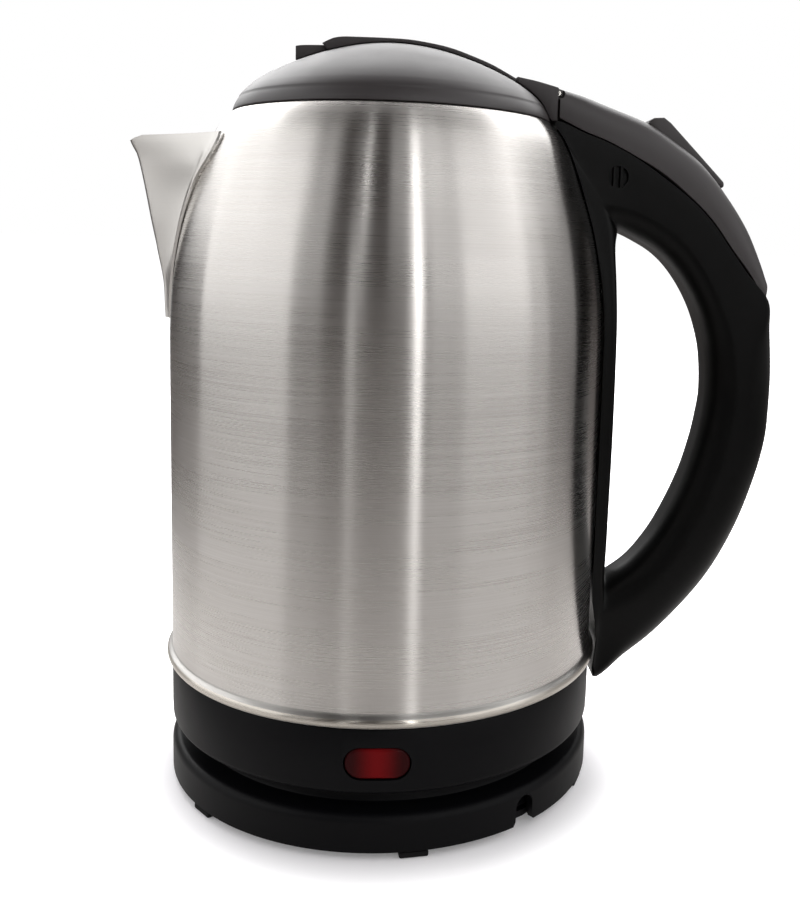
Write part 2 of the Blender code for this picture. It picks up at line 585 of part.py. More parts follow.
BUTTON_TOP = [(-29.8, 227.6), (-29.0, 228.8), (-27.5, 229.3), (-20.2, 229.5), (-20.0, 229.5), (-19.0, 229.4),
              (-8.0, 230.3)]
BUTTON_W = 8.6


def button_top(x, y):
    return along(BUTTON_TOP, x) - 0.5 * (abs(y) / BUTTON_W) ** 4


def button_bottom(x, y):
    return dome_z(x, y) + GAP + 0.1


button_xs = [-29.8, -29.0, -27.5, -24.0, -20.2, -17.5]
button_ys = [-8.6, -7.6, -4.0, 0.0, 4.0, 7.6, 8.6]
add("latch_button", saddle(button_xs, button_ys, button_top, button_bottom), BLACK_LID)
bolt_line = [(-44.6, 210.8), (-20.6, 210.8), (-20.6, 227.4), (-25.4, 226.2), (-25.4, 213.2), (-44.6, 213.2)]
add("latch_bolt", prism_y(bolt_line, -2.6, 2.6), BLACK)

KNUCKLE_LINE = [(37.4, 222.2), (44.0, 221.0), (50.55, 219.4)]
KNUCKLE_LOW = 211.2


def knuckle_top(x, y):
    return along(KNUCKLE_LINE, x) - 0.8 * (abs(y) / KNUCKLE_W) ** 4


def knuckle_bottom(x, y):
    return max(dome_z(x, y) + GAP + 0.1, KNUCKLE_LOW)


knuckle = add("hinge_knuckle", saddle([37.4, 40.0, 43.0, 46.0, 48.4, 49.5, 50.55],
                                      [-11.5, -10.6, -7.0, -3.5, 0.0, 3.5, 7.0, 10.6, 11.5],
                                      knuckle_top, knuckle_bottom), BLACK_LID)
combine(knuckle, [barrel(4.1, 12.0, BARREL_R + GAP), barrel(-12.0, -4.1, BARREL_R + GAP)])
combine(knuckle, [barrel(-4.1, 4.1, BARREL_R)], "UNION")
combine(knuckle, [barrel(-6.0, 6.0, PIN_R + GAP, 16)])

plate = add("lid_inner_plate", lathe([
    (0.0, 205.4), (43.0, 205.4), (44.6, 206.6), (44.6, 209.2), (43.8, 209.2), (43.8, 207.0), (42.8, 206.2),
    (0.0, 206.2)], sides=36), STEEL)
for number, x in enumerate((-14.0, 14.0), 1):
    combine(plate, [add("tool", rod((x, 0.0, 204.0), (x, 0.0, 208.0), 1.9, 12), None)])
    screw("lid_screw_%d" % number, x, 0.0, 203.8, 205.1, 3.0, 1.4, 224.0)
add("lid_seal", lathe([(44.9, 207.6), (45.4, 207.8), (45.4, 209.2), (44.9, 209.4)], sides=40), SILICONE)
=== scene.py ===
"""Electric kettle: brushed steel jug, black moulded lid, handle, skirt and power base."""
import json
import math

import bmesh
import bpy
from mathutils import Matrix, Vector


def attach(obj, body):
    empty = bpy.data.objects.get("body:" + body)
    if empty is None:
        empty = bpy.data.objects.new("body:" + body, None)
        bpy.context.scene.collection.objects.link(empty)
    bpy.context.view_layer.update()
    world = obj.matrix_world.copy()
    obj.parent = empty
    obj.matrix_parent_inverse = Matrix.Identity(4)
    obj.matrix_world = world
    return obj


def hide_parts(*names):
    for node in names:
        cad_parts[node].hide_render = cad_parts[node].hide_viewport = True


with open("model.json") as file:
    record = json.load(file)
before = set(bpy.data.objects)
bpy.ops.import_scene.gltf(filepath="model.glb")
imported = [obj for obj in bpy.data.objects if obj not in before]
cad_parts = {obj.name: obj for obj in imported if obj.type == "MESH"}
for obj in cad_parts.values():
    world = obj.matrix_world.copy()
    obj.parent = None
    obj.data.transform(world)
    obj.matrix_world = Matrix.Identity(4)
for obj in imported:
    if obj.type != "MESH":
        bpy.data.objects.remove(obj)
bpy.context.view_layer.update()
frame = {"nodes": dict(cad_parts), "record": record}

MM = 0.001

# ------------------------------------------------------------------ sizes, in millimetres
GAP = 0.3          # clearance between neighbouring pieces
SEAT = GAP + 0.05  # how far lid pieces sit above the dome
JUG_R = 68.3
WALL = 0.8
BEAD_Z = 40.6
BEAD_ROLL = 1.7
# The jug's outer radius at each height
SHOULDER = [(42.3, 68.3), (60.0, 68.3), (120.0, 68.3), (140.0, 68.25), (148.0, 68.0), (155.0, 67.5),
            (165.0, 66.1), (175.0, 64.0), (182.0, 61.95), (190.0, 59.3), (197.0, 56.8), (202.0, 54.6),
            (205.5, 52.3), (208.4, 49.5)]
# Strainer holes behind the spout: a height, then how far each hole lies to the side
STRAINER_ROWS = [(192.0, (-15.0, -7.5, 0.0, 7.5, 15.0)), (185.0, (-8.0, 0.0, 8.0)),
                 (178.0, (-4.5, 4.5)), (170.0, (0.0,)), (163.0, (0.0,))]
SKIRT_R = 68.4
SKIRT_TOP = 38.4
LAMP = (-1.2, 28.5)       # x and z of its middle
LAMP_SIZE = (18.2, 8.8)
BASE_R = 68.5
NOTCH_AZ = -52.0          # degrees round the base
NOTCH_W = 6.6
# The lid's height at each distance from the middle
DOME = [(0.0, 231.1), (6.0, 230.8), (12.0, 230.0), (18.0, 228.6), (24.0, 226.7), (30.0, 224.4),
        (36.0, 221.6), (40.0, 219.4), (43.0, 217.4), (45.4, 215.4), (46.8, 213.9), (48.0, 212.0),
        (49.3, 209.2)]
HINGE = (50.7, 217.7)     # x and z of the lid's hinge axis
BARREL_R = 1.7
HINGE_NEST = 1.95
PIN_R = 0.8
ROCKER_AT = (82.0, 209.3)
ROCKER_TO = (106.5, 190.8)
ROCKER_W = 6.5            # half its width
VENT = (69.8, 192.8)
BUTTON_W = 8.6            # half the latch button's width
KNUCKLE_W = 11.5          # half the hinge block's width
SIDES = 160               # flats round a turned piece
DENT = 0.1                # depth that a bump of strength 1 stands for


# ------------------------------------------------------------------ small helpers
def colour(code):
    """sRGB hex to linear RGBA."""
    parts = [int(code[i:i + 2], 16) / 255 for i in (1, 3, 5)]
    return tuple(c / 12.92 if c <= 0.04045 else ((c + 0.055) / 1.055) ** 2.4 for c in parts) + (1.0,)


def node(mat, kind, links=None, **settings):
    """Add a node; settings are its own fields or its sockets' values, links its wired sockets."""
    made = mat.node_tree.nodes.new(kind)
    for key, value in settings.items():
        if hasattr(made, key):
            setattr(made, key, value)
        else:
            made.inputs[key.replace("_", " ")].default_value = value
    for key, source in (links or {}).items():
        mat.node_tree.links.new(source, made.inputs[key])
    return made


def material(name, **sockets):
    """New material with its Principled shader's sockets set."""
    mat = bpy.data.materials.new(name)
    mat.use_nodes = True
    skin = mat.node_tree.nodes["Principled BSDF"]
    for key, value in sockets.items():
        skin.inputs[key.replace("_", " ")].default_value = value
    return mat, skin


def wire(mat, source, socket):
    """Feed one socket from another."""
    mat.node_tree.links.new(source, socket)


def hermite(table, at):
    """Smooth reading of a sorted table of (key, value)."""
    if at <= table[0][0]:
        return table[0][1]
    last = len(table) - 1
    for i in range(last):
        if at <= table[i + 1][0]:
            break
    else:
        return table[-1][1]
    (a, va), (b, vb) = table[i], table[i + 1]
    before = table[max(0, i - 1)]
    after = table[min(last, i + 2)]
    ma = (vb - before[1]) / (b - before[0])
    mb = (after[1] - va) / (after[0] - a)
    h = b - a
    t = (at - a) / h
    return ((2 * t ** 3 - 3 * t ** 2 + 1) * va + (t ** 3 - 2 * t ** 2 + t) * h * ma
            + (3 * t ** 2 - 2 * t ** 3) * vb + (t ** 3 - t ** 2) * h * mb)


def spline_rows(rows, steps, closed=False):
    """Catmull-Rom through rows of numbers, with steps new rows for each old one."""
    count = len(rows)
    out = []
    spans = count if closed else count - 1
    for i in range(spans):
        ring = []
        for k in (-1, 0, 1, 2):
            j = (i + k) % count if closed else min(max(i + k, 0), count - 1)
            ring.append(rows[j])
        for s in range(steps):
            t = s / steps
            out.append(tuple(0.5 * (2 * b + (c - a) * t + (2 * a - 5 * b + 4 * c - d) * t ** 2
                                    + (3 * b - a - 3 * c + d) * t ** 3) for a, b, c, d in zip(*ring)))
    if not closed:
        out.append(tuple(rows[-1]))
    return out


def finish_mesh(name, bm, mats, sharp=35.0):
    """Millimetre bmesh to an object in metres."""
    bmesh.ops.recalc_face_normals(bm, faces=bm.faces)
    bmesh.ops.scale(bm, vec=(MM, MM, MM), verts=bm.verts)
    mesh = bpy.data.meshes.new(name)
    bm.to_mesh(mesh)
    bm.free()
    for mat in mats:
        mesh.materials.append(mat)
    mesh.shade_smooth()
    mesh.set_sharp_from_angle(angle=math.radians(sharp))
    obj = bpy.data.objects.new(name, mesh)
    bpy.context.collection.objects.link(obj)
    return obj


def cut(obj, tools, how="DIFFERENCE"):
    """Cut tools away from obj, or join them to it, and bake the result."""
    for tool in tools:
        mod = obj.modifiers.new("cut", "BOOLEAN")
        mod.operation = how
        mod.solver = "EXACT"
        mod.object = tool
        graph = bpy.context.evaluated_depsgraph_get()
        mesh = bpy.data.meshes.new_from_object(obj.evaluated_get(graph))
        obj.modifiers.clear()
        obj.data = mesh
        bpy.data.objects.remove(tool, do_unlink=True)
    obj.data.shade_smooth()
    obj.data.set_sharp_from_angle(angle=math.radians(35.0))
    return obj


def soften(obj, width, segments=3, angle=40.0):
    """Round the sharp edges by width millimetres and bake it."""
    mod = obj.modifiers.new("round", "BEVEL")
    mod.width = width * MM
    mod.segments = segments
    mod.limit_method = "ANGLE"
    mod.angle_limit = math.radians(angle)
    mod.harden_normals = False
    graph = bpy.context.evaluated_depsgraph_get()
    mesh = bpy.data.meshes.new_from_object(obj.evaluated_get(graph))
    obj.modifiers.clear()
    obj.data = mesh
    obj.data.shade_smooth()
    obj.data.set_sharp_from_angle(angle=math.radians(50.0))
    return obj


def place(obj, body, slot, *nodes):
    """Hang a finished piece on its body, in place of the named plain pieces."""
    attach(obj, body)
    if nodes:
        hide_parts(*nodes)
    return obj


def skin_rings(rings, closed=False):
    """Skin from ring to ring, capped at both ends or closed into a loop."""
    bm = bmesh.new()
    loops = [[bm.verts.new(p) for p in ring] for ring in rings]
    count = len(loops[0])
    pairs = list(zip(loops, loops[1:]))
    if closed:
        pairs.append((loops[-1], loops[0]))
    for low, high in pairs:
        for i in range(count):
            j = (i + 1) % count
            bm.faces.new((low[i], low[j], high[j], high[i]))
    if not closed:
        bm.faces.new(loops[0])
        bm.faces.new(loops[-1])
    return bm


def lathe(profile, sides=SIDES):
    """Turn a closed outline of (radius, height) points about the upright axis."""
    bm = bmesh.new()
    columns = []
    for r, z in profile:
        if r <= 0.0:
            columns.append([bm.verts.new((0.0, 0.0, z))] * sides)
            continue
        columns.append([bm.verts.new((r * math.cos(2 * math.pi * k / sides),
                                      r * math.sin(2 * math.pi * k / sides), z)) for k in range(sides)])
    for a, b in zip(columns, columns[1:] + columns[:1]):
        for k in range(sides):
            n = (k + 1) % sides
            corners = []
            for v in (a[k], a[n], b[n], b[k]):
                if v not in corners:
                    corners.append(v)
            if len(corners) > 2:
                bm.faces.new(corners)
    return bm


def prism_y(outline, y0, y1):
    """An outline in x and z, drawn out from y0 to y1."""
    return skin_rings([[(x, y0, z) for x, z in outline], [(x, y1, z) for x, z in outline]])


def rod(start, end, radius, sides=24):
    a = Vector(start)
    b = Vector(end)
    turn = (b - a).to_track_quat("Z", "Y").to_matrix()
    circle = [turn @ Vector((radius * math.cos(2 * math.pi * k / sides),
                             radius * math.sin(2 * math.pi * k / sides), 0.0)) for k in range(sides)]
    return skin_rings([[tuple(a + p) for p in circle], [tuple(b + p) for p in circle]])


def block(low, high):
    bm = bmesh.new()
    bmesh.ops.create_cube(bm, size=1.0)
    bmesh.ops.scale(bm, vec=[h - l for l, h in zip(low, high)], verts=bm.verts)
    bmesh.ops.translate(bm, vec=[(h + l) / 2 for l, h in zip(low, high)], verts=bm.verts)
    return bm


def tool(bm):
    """A solid for cutting with or for joining on."""
    return finish_mesh("tool", bm, [])


def turned(bm, degrees):
    turn = Matrix.Rotation(math.radians(degrees), 3, "Z")
    bmesh.ops.rotate(bm, cent=(0, 0, 0), matrix=turn, verts=bm.verts)
    return bm


def arc(cx, cz, r, start, end, steps):
    """Points (cx + r cos, cz + r sin) from start to end degrees."""
    pts = []
    for k in range(steps + 1):
        a = math.radians(start + (end - start) * k / steps)
        pts.append((cx + r * math.cos(a), cz + r * math.sin(a)))
    return pts


def stadium(width, height, steps=12):
    """A slot's outline: straight top and bottom, round ends."""
    r = height / 2
    run = width / 2 - r
    return arc(run, 0.0, r, -90.0, 90.0, steps) + arc(-run, 0.0, r, 90.0, 270.0, steps)


def kettle_r(z):
    """The kettle's outer radius at a height: skirt, bead, then jug."""
    if z < SKIRT_TOP + 0.3:
        return SKIRT_R
    if z < 43.0:
        return 70.0
    return hermite(SHOULDER, z)


def dome_z(x, y):
    """Height of the lid's top."""
    return hermite(DOME, math.hypot(x, y))


def off_wall(p, gap):
    """Push a point out until it is gap clear of the kettle's wall."""
    x, y, z = p
    r = math.hypot(x, y)
    need = kettle_r(z) + gap
    return (x * need / r, y * need / r, z) if r < need else p


# ------------------------------------------------------------------ materials
def brushed_steel(name, rough, lines_mm, contrast=0.6, bump_by=0.006, base="#d4d1ce", dark="#c5c1bd"):
    """Stainless steel sheet brushed round the jug with about 180 grit: fine level lines, with the
    highlights drawn out up and down across them. The real scratches are 0.05 mm apart, too fine to
    show, so they are drawn lines_mm apart."""
    mat, skin = material(name, Metallic=1.0, Anisotropic=1.0, Anisotropic_Rotation=0.25)
    where = node(mat, "ShaderNodeTexCoord")
    stretch = node(mat, "ShaderNodeMapping", {"Vector": where.outputs["Object"]},
                   Scale=(14.0, 14.0, 1.0 / (lines_mm * MM)))
    grain = node(mat, "ShaderNodeTexNoise", {"Vector": stretch.outputs["Vector"]}, Scale=1.0, Detail=4.0,
                 Roughness=0.65)
    wide = node(mat, "ShaderNodeMapping", {"Vector": where.outputs["Object"]}, Scale=(12.0, 12.0, 70.0))
    patch = node(mat, "ShaderNodeTexNoise", {"Vector": wide.outputs["Vector"]}, Scale=1.0, Detail=3.0,
                 Roughness=0.5)
    spread_by = 0.15 / contrast
    tone = node(mat, "ShaderNodeMapRange", {"Value": grain.outputs["Fac"]}, From_Min=0.5 - spread_by,
                From_Max=0.5 + spread_by)
    tint = node(mat, "ShaderNodeMix", {"Factor": tone.outputs["Result"]}, data_type="RGBA")
    tint.inputs[6].default_value = colour(dark)
    tint.inputs[7].default_value = colour(base)
    wire(mat, tint.outputs[2], skin.inputs["Base Color"])
    sheen = node(mat, "ShaderNodeMapRange", {"Value": grain.outputs["Fac"]}, From_Min=0.3, From_Max=0.7,
                 To_Min=rough - 0.025, To_Max=rough + 0.025)
    smear = node(mat, "ShaderNodeMapRange", {"Value": patch.outputs["Fac"]}, From_Min=0.3, From_Max=0.7,
                 To_Min=-0.02, To_Max=0.02)
    total = node(mat, "ShaderNodeMath", {0: sheen.outputs["Result"], 1: smear.outputs["Result"]},
                 operation="ADD")
    wire(mat, total.outputs["Value"], skin.inputs["Roughness"])
    bump = node(mat, "ShaderNodeBump", {"Height": grain.outputs["Fac"]}, Strength=bump_by, Distance=DENT * MM)
    wire(mat, bump.outputs["Normal"], skin.inputs["Normal"])
    tangent = node(mat, "ShaderNodeTangent", direction_type="RADIAL", axis="Z")
    wire(mat, tangent.outputs["Tangent"], skin.inputs["Tangent"])
    return mat


def moulded(name, base, rough, grain_mm, depth, specular):
    """Injection-moulded plastic from a spark-eroded tool: an even fine grain, a soft satin light.
    Handling has left it a little shinier in some places than in others."""
    worn = 0.04
    mat, skin = material(name, Roughness=rough, Specular_IOR_Level=specular)
    skin.inputs["IOR"].default_value = 1.5
    where = node(mat, "ShaderNodeTexCoord")
    grain = node(mat, "ShaderNodeTexNoise", {"Vector": where.outputs["Object"]}, Scale=1.0 / (grain_mm * MM),
                 Detail=2.0, Roughness=0.6)
    cloud = node(mat, "ShaderNodeTexNoise", {"Vector": where.outputs["Object"]}, Scale=38.0, Detail=4.0,
                 Roughness=0.6)
    light = tuple(min(1.0, c * 1.35 + 0.0008) for c in colour(base)[:3]) + (1.0,)
    tint = node(mat, "ShaderNodeMix", {"Factor": cloud.outputs["Fac"]}, data_type="RGBA")
    tint.inputs[6].default_value = colour(base)
    tint.inputs[7].default_value = light
    wire(mat, tint.outputs[2], skin.inputs["Base Color"])
    sheen = node(mat, "ShaderNodeMapRange", {"Value": cloud.outputs["Fac"]}, From_Min=0.3, From_Max=0.7,
                 To_Min=rough - worn, To_Max=rough + worn)
    wire(mat, sheen.outputs["Result"], skin.inputs["Roughness"])
    bump = node(mat, "ShaderNodeBump", {"Height": grain.outputs["Fac"]}, Strength=depth, Distance=DENT * MM)
    wire(mat, bump.outputs["Normal"], skin.inputs["Normal"])
    return mat


# Jug: stainless sheet, rolled and belt-brushed: bright, with level lines and upright streaks of light
steel = brushed_steel("brushed_stainless_steel", 0.28, 0.35)
# Spout: pressed from thin sheet and only lightly brushed, so its light runs smoothly
spout_steel = brushed_steel("brushed_stainless_spout", 0.31, 0.4, 0.2, 0.002, "#dedcd8", "#d2cfcb")
# Inside of the jug and the plates: sheet left as rolled, duller, with coarser lines
inner_steel = brushed_steel("plain_stainless_steel", 0.42, 0.6, 0.4, 0.02, "#c6c4c1", "#b6b4b1")
# Rims of the jug: the same sheet rolled over, a little warmer and with fainter lines
rim_steel = brushed_steel("polished_stainless_rim", 0.28, 0.4, 0.3, 0.01, "#cdc8c0", "#bdb7ae")
# Handle and mouth collar: moulded polypropylene, deep black with a low satin shine
body_plastic = moulded("moulded_black_polypropylene", "#060606", 0.36, 0.35, 0.12, 0.12)
# Lid, rocker and handle cover: moulded like the handle, but a greyer black with a wide soft shine
lid_plastic = moulded("moulded_black_lid_plastic", "#2b2627", 0.5, 0.35, 0.10, 0.65)
# Skirt and power base: moulded polypropylene, flat black
base_plastic = moulded("moulded_black_base_plastic", "#060608", 0.44, 0.4, 0.15, 0.1)
# Feet: moulded rubber, with hardly any shine
rubber = moulded("black_foot_rubber", "#0c0c0d", 0.8, 0.5, 0.2, 0.2)
# Switch bodies: pressed phenolic, cream and slightly chalky
cream = moulded("cream_phenolic", "#cfc6b4", 0.55, 0.6, 0.15, 0.4)
# Seal: moulded silicone, pale grey and soft to the light
silicone = moulded("grey_silicone", "#b8b6b0", 0.6, 0.8, 0.05, 0.4)


def plain_metal(name, base, rough, scratch):
    """Turned or drawn metal with faint tool marks."""
    mat, skin = material(name, Metallic=1.0, Roughness=rough)
    where = node(mat, "ShaderNodeTexCoord")
    marks = node(mat, "ShaderNodeTexNoise", {"Vector": where.outputs["Object"]}, Scale=900.0, Detail=3.0)
    tone = node(mat, "ShaderNodeMapRange", {"Value": marks.outputs["Fac"]}, To_Min=rough - 0.08,
                To_Max=rough + 0.1)
    wire(mat, tone.outputs["Result"], skin.inputs["Roughness"])
    dark = tuple(c * 0.8 for c in colour(base)[:3]) + (1.0,)
    tint = node(mat, "ShaderNodeMix", {"Factor": marks.outputs["Fac"]}, data_type="RGBA")
    tint.inputs[6].default_value = dark
    tint.inputs[7].default_value = colour(base)
    wire(mat, tint.outputs[2], skin.inputs["Base Color"])
    bump = node(mat, "ShaderNodeBump", {"Height": marks.outputs["Fac"]}, Strength=scratch, Distance=DENT * MM)
    wire(mat, bump.outputs["Normal"], skin.inputs["Normal"])
    return mat


# Screws and pins: nickel-plated steel, turned, bright and slightly warm
bright_metal = plain_metal("nickel_plated_steel", "#d8d5cf", 0.25, 0.1)
# Contacts: turned brass, yellow and clean
brass = plain_metal("plain_brass", "#c9a45a", 0.3, 0.1)
# Heat spreader: cast aluminium, pale and matt
aluminium = plain_metal("cast_aluminium", "#c8c9cb", 0.45, 0.3)


def lens_material():
    """Red polycarbonate window: deep red, with a painted glow of the lamp behind it, a brighter middle
    painted into its colour.
    """
    mat, skin = material("red_polycarbonate", Roughness=0.3, Specular_IOR_Level=0.06)
    skin.inputs["IOR"].default_value = 1.58
    where = node(mat, "ShaderNodeTexCoord")
    split = node(mat, "ShaderNodeSeparateXYZ", {"Vector": where.outputs["Object"]})
    shift = node(mat, "ShaderNodeMath", {0: split.outputs["X"]}, operation="SUBTRACT")
    shift.inputs[1].default_value = LAMP[0] * MM
    away = node(mat, "ShaderNodeMath", {0: shift.outputs["Value"]}, operation="ABSOLUTE")
    # painted light: the lamp's glow is painted into the base colour, bright red at the middle fading to deep
    # red at the sides
    painted_glow = node(mat, "ShaderNodeMapRange", {"Value": away.outputs["Value"]}, From_Min=0.0, From_Max=0.0075,
                interpolation_type="SMOOTHSTEP")
    tint = node(mat, "ShaderNodeMix", {"Factor": painted_glow.outputs["Result"]}, data_type="RGBA")
    tint.inputs[6].default_value = colour("#6c070c")
    tint.inputs[7].default_value = colour("#2c0507")
    wire(mat, tint.outputs[2], skin.inputs["Base Color"])
    ribs = node(mat, "ShaderNodeTexWave", {"Vector": where.outputs["Object"]}, Scale=420.0, Distortion=0.0,
                bands_direction="X")
    bump = node(mat, "ShaderNodeBump", {"Height": ribs.outputs["Fac"]}, Strength=0.06, Distance=DENT * MM)
    wire(mat, bump.outputs["Normal"], skin.inputs["Normal"])
    return mat


red_lens = lens_material()
# Lamp bulb: blown glass, clear and faintly orange
lamp_glass, glass_skin = material("neon_lamp_glass", Base_Color=colour("#e8a890"), Roughness=0.1,
                                  Transmission_Weight=0.6)
glass_noise = node(lamp_glass, "ShaderNodeTexNoise", Scale=400.0)
glass_bump = node(lamp_glass, "ShaderNodeBump", {"Height": glass_noise.outputs["Fac"]}, Strength=0.05,
                  Distance=DENT * MM)
wire(lamp_glass, glass_bump.outputs["Normal"], glass_skin.inputs["Normal"])

# ------------------------------------------------------------------ power base
base_line = [(BASE_R, 2.3)] + arc(BASE_R - 2.6, 10.6, 2.6, 0.0, 90.0, 8)
base_line += [(61.4, 13.2), (60.6, 13.5), (60.2, 14.2), (60.0, 17.9)] + arc(59.2, 17.9, 0.8, 0.0, 90.0, 4)
base_line += [(30.0, 18.7), (29.2, 18.4), (22.0, 18.4), (21.4, 18.7), (17.3, 18.7), (17.3, 16.2),
              (57.6, 16.2), (57.6, 11.0), (65.9, 11.0), (65.9, 2.1), (68.2, 2.1)]
base_shell = finish_mesh("base_shell", lathe(base_line), [base_plastic])
half = NOTCH_W / 2
notch = [(-half - 1.1, -1.0), (half + 1.1, -1.0), (half + 0.9, 2.4), (half + 0.2, 3.6)]
notch += arc(0.0, 7.7, half, 0.0, 180.0, 16) + [(-half - 0.2, 3.6), (-half - 0.9, 2.4)]
cut(base_shell, [tool(turned(prism_y(notch, -75.0, -59.0), NOTCH_AZ + 90.0))])
place(base_shell, "base", "black_plastic", "base_housing")

# ------------------------------------------------------------------ skirt and lamp
skirt_line = [(16.8, 19.0), (65.4, 19.0)] + arc(66.1, 21.3, 2.2, -70.0, 0.0, 8)
skirt_line += [(SKIRT_R, 24.0), (SKIRT_R, 37.9), (68.1, SKIRT_TOP), (66.2, SKIRT_TOP), (66.2, 21.2),
               (16.8, 21.2)]
skirt_shell = finish_mesh("skirt_shell", lathe(skirt_line), [base_plastic])
window = [(LAMP[0] + u, LAMP[1] + v) for u, v in stadium(LAMP_SIZE[0] + 0.7, LAMP_SIZE[1] + 0.7)]
cut(skirt_shell, [tool(prism_y(window, -72.0, -60.0))])
for degrees in (80.0, 200.0, 320.0):
    x = 50.0 * math.cos(math.radians(degrees))
    y = 50.0 * math.sin(math.radians(degrees))
    cut(skirt_shell, [tool(rod((x, y, 18.0), (x, y, 22.0), 3.0))])
place(skirt_shell, "kettle", "black_plastic", "skirt")

# The lens swells from its seat to a low cushion: how far in from its edge, and how far out from a line
# LENS_SUNK behind the skirt's face
LENS_SUNK = 0.15
CUSHION = [(0.0, -3.1), (0.0, -0.45), (0.12, -0.2), (0.4, -0.02), (0.9, 0.06), (2.2, 0.1), (3.6, 0.12)]
lens_rings = []
for inset, out in CUSHION:
    ring = []
    for u, v in stadium(LAMP_SIZE[0] - 2 * inset, LAMP_SIZE[1] - 2 * inset):
        x = LAMP[0] + u
        ring.append((x, -math.sqrt(SKIRT_R ** 2 - x * x) - out + LENS_SUNK, LAMP[1] + v))
    lens_rings.append(ring)
lens = finish_mesh("lamp_window", skin_rings(lens_rings), [red_lens])
place(lens, "kettle", "red_lens", "lamp_lens")

# ------------------------------------------------------------------ jug
outside = arc(JUG_R, BEAD_Z, BEAD_ROLL, -95.0, 80.0, 14)
outside += [(JUG_R + 0.05, 42.5), (JUG_R, 43.0)]
z = 52.0
while z < 207.0:
    outside.append((hermite(SHOULDER, z), z))
    z += 11.0 if z < 130.0 else 3.0
rolled_edge = [(50.45, 207.5), (50.0, 207.9), (49.6, 208.15), (49.2, 208.2), (48.9, 208.0), (48.85, 207.6)]
outside += rolled_edge
inside = []
z = 204.5
while z > 45.0:
    inside.append((hermite(SHOULDER, z) - WALL, z - 0.3))
    z -= 3.2 if z > 140.0 else 24.0
inside.append((JUG_R - WALL, 39.0))
jug_bm = lathe(outside + inside, 192)
for face in jug_bm.faces:
    mid = face.calc_center_median()
    deep = math.hypot(mid.x, mid.y) < kettle_r(mid.z) - 0.4
    face.material_index = 2 if deep else (1 if mid.z < 42.6 else 0)
jug = finish_mesh("jug_shell", jug_bm, [steel, rim_steel, inner_steel])
for z, places in STRAINER_ROWS:
    cut(jug, [tool(rod((-75.0, y, z), (-40.0, y, z), 2.2)) for y in places])
place(jug, "kettle", "brushed_steel", "jug_wall")

# ------------------------------------------------------------------ spout
SPOUT_TOP = 200.9
# At each height: how far out the nose reaches, half the spout's width, and the width of its flange
SPOUT_NOSE = [(141.0, 70.3), (145.0, 70.9), (148.0, 71.05), (152.0, 71.1), (156.0, 71.3), (160.0, 71.9),
              (164.0, 72.7), (169.0, 73.6), (175.0, 74.8), (180.0, 75.7), (186.0, 76.8), (190.5, 77.7),
              (195.0, 78.8), (198.0, 80.1), (SPOUT_TOP, 80.9)]
SPOUT_HALF = [(141.0, 0.5), (146.0, 1.5), (150.0, 2.6), (156.0, 4.4), (164.0, 6.6), (172.0, 9.0),
              (180.0, 12.0), (185.0, 14.6), (189.0, 18.0), (192.0, 21.4), (195.0, 24.0), (198.0, 25.6),
              (SPOUT_TOP, 26.4)]
SPOUT_T = 0.8
FLANGE = [(141.0, 1.2), (150.0, 1.9), (165.0, 2.6), (178.0, 3.4), (190.0, 3.4), (195.0, 2.9), (198.0, 2.2),
          (200.0, 1.4), (SPOUT_TOP, 0.5)]
SPOUT_STEPS = 12


def spout_row(z):
    """Outer and inner points of one half of the spout at a height, from the nose to the flange's edge."""
    nose = -hermite(SPOUT_NOSE, z)
    brim = hermite(FLANGE, z)
    half = hermite(SPOUT_HALF, z) + 2.2 - max(brim, hermite(FLANGE, min(z, 193.0)))
    half = max(half, 0.4)
    wall = kettle_r(z)
    low = wall + GAP + 0.05
    high = low + SPOUT_T
    fit = min(1.0, half / 9.0) * 0.9
    seam = (-math.sqrt(max(high ** 2 - half ** 2, 1.0)), half)
    outer = []
    for k in range(5):
        a = math.radians(72.0 * k / 4)
        outer.append((nose + 3.0 * fit * (1 - math.cos(a)), 3.0 * fit * math.sin(a) * 1.15))
    start = outer[-1]
    span = math.hypot(seam[0] - start[0], seam[1] - start[1])
    away = ((seam[1] - start[1]) / span, -(seam[0] - start[0]) / span)
    for k in range(1, SPOUT_STEPS + 1):
        f = k / SPOUT_STEPS
        bow = 0.05 * span * 4 * f * (1 - f) * fit
        outer.append((start[0] + (seam[0] - start[0]) * f + away[0] * bow,
                      start[1] + (seam[1] - start[1]) * f + away[1] * bow))
    for share in (0.2, 0.55, 0.93, 1.0):
        y = half + share * brim
        drop = 0.3 if share == 1.0 else 0.0
        outer.append((-math.sqrt((high - drop) ** 2 - y * y), y))
    inner = []
    for i, (x, y) in enumerate(outer):
        if i == 0:
            inner.append((x + SPOUT_T * 1.05, 0.0))
        elif i >= len(outer) - 4:
            inner.append((-math.sqrt(low ** 2 - y * y), y))
        else:
            ax, ay = outer[i - 1]
            bx, by = outer[i + 1]
            run = math.hypot(bx - ax, by - ay)
            inner.append((x + SPOUT_T * (by - ay) / run, y - SPOUT_T * (bx - ax) / run))
    return outer, inner


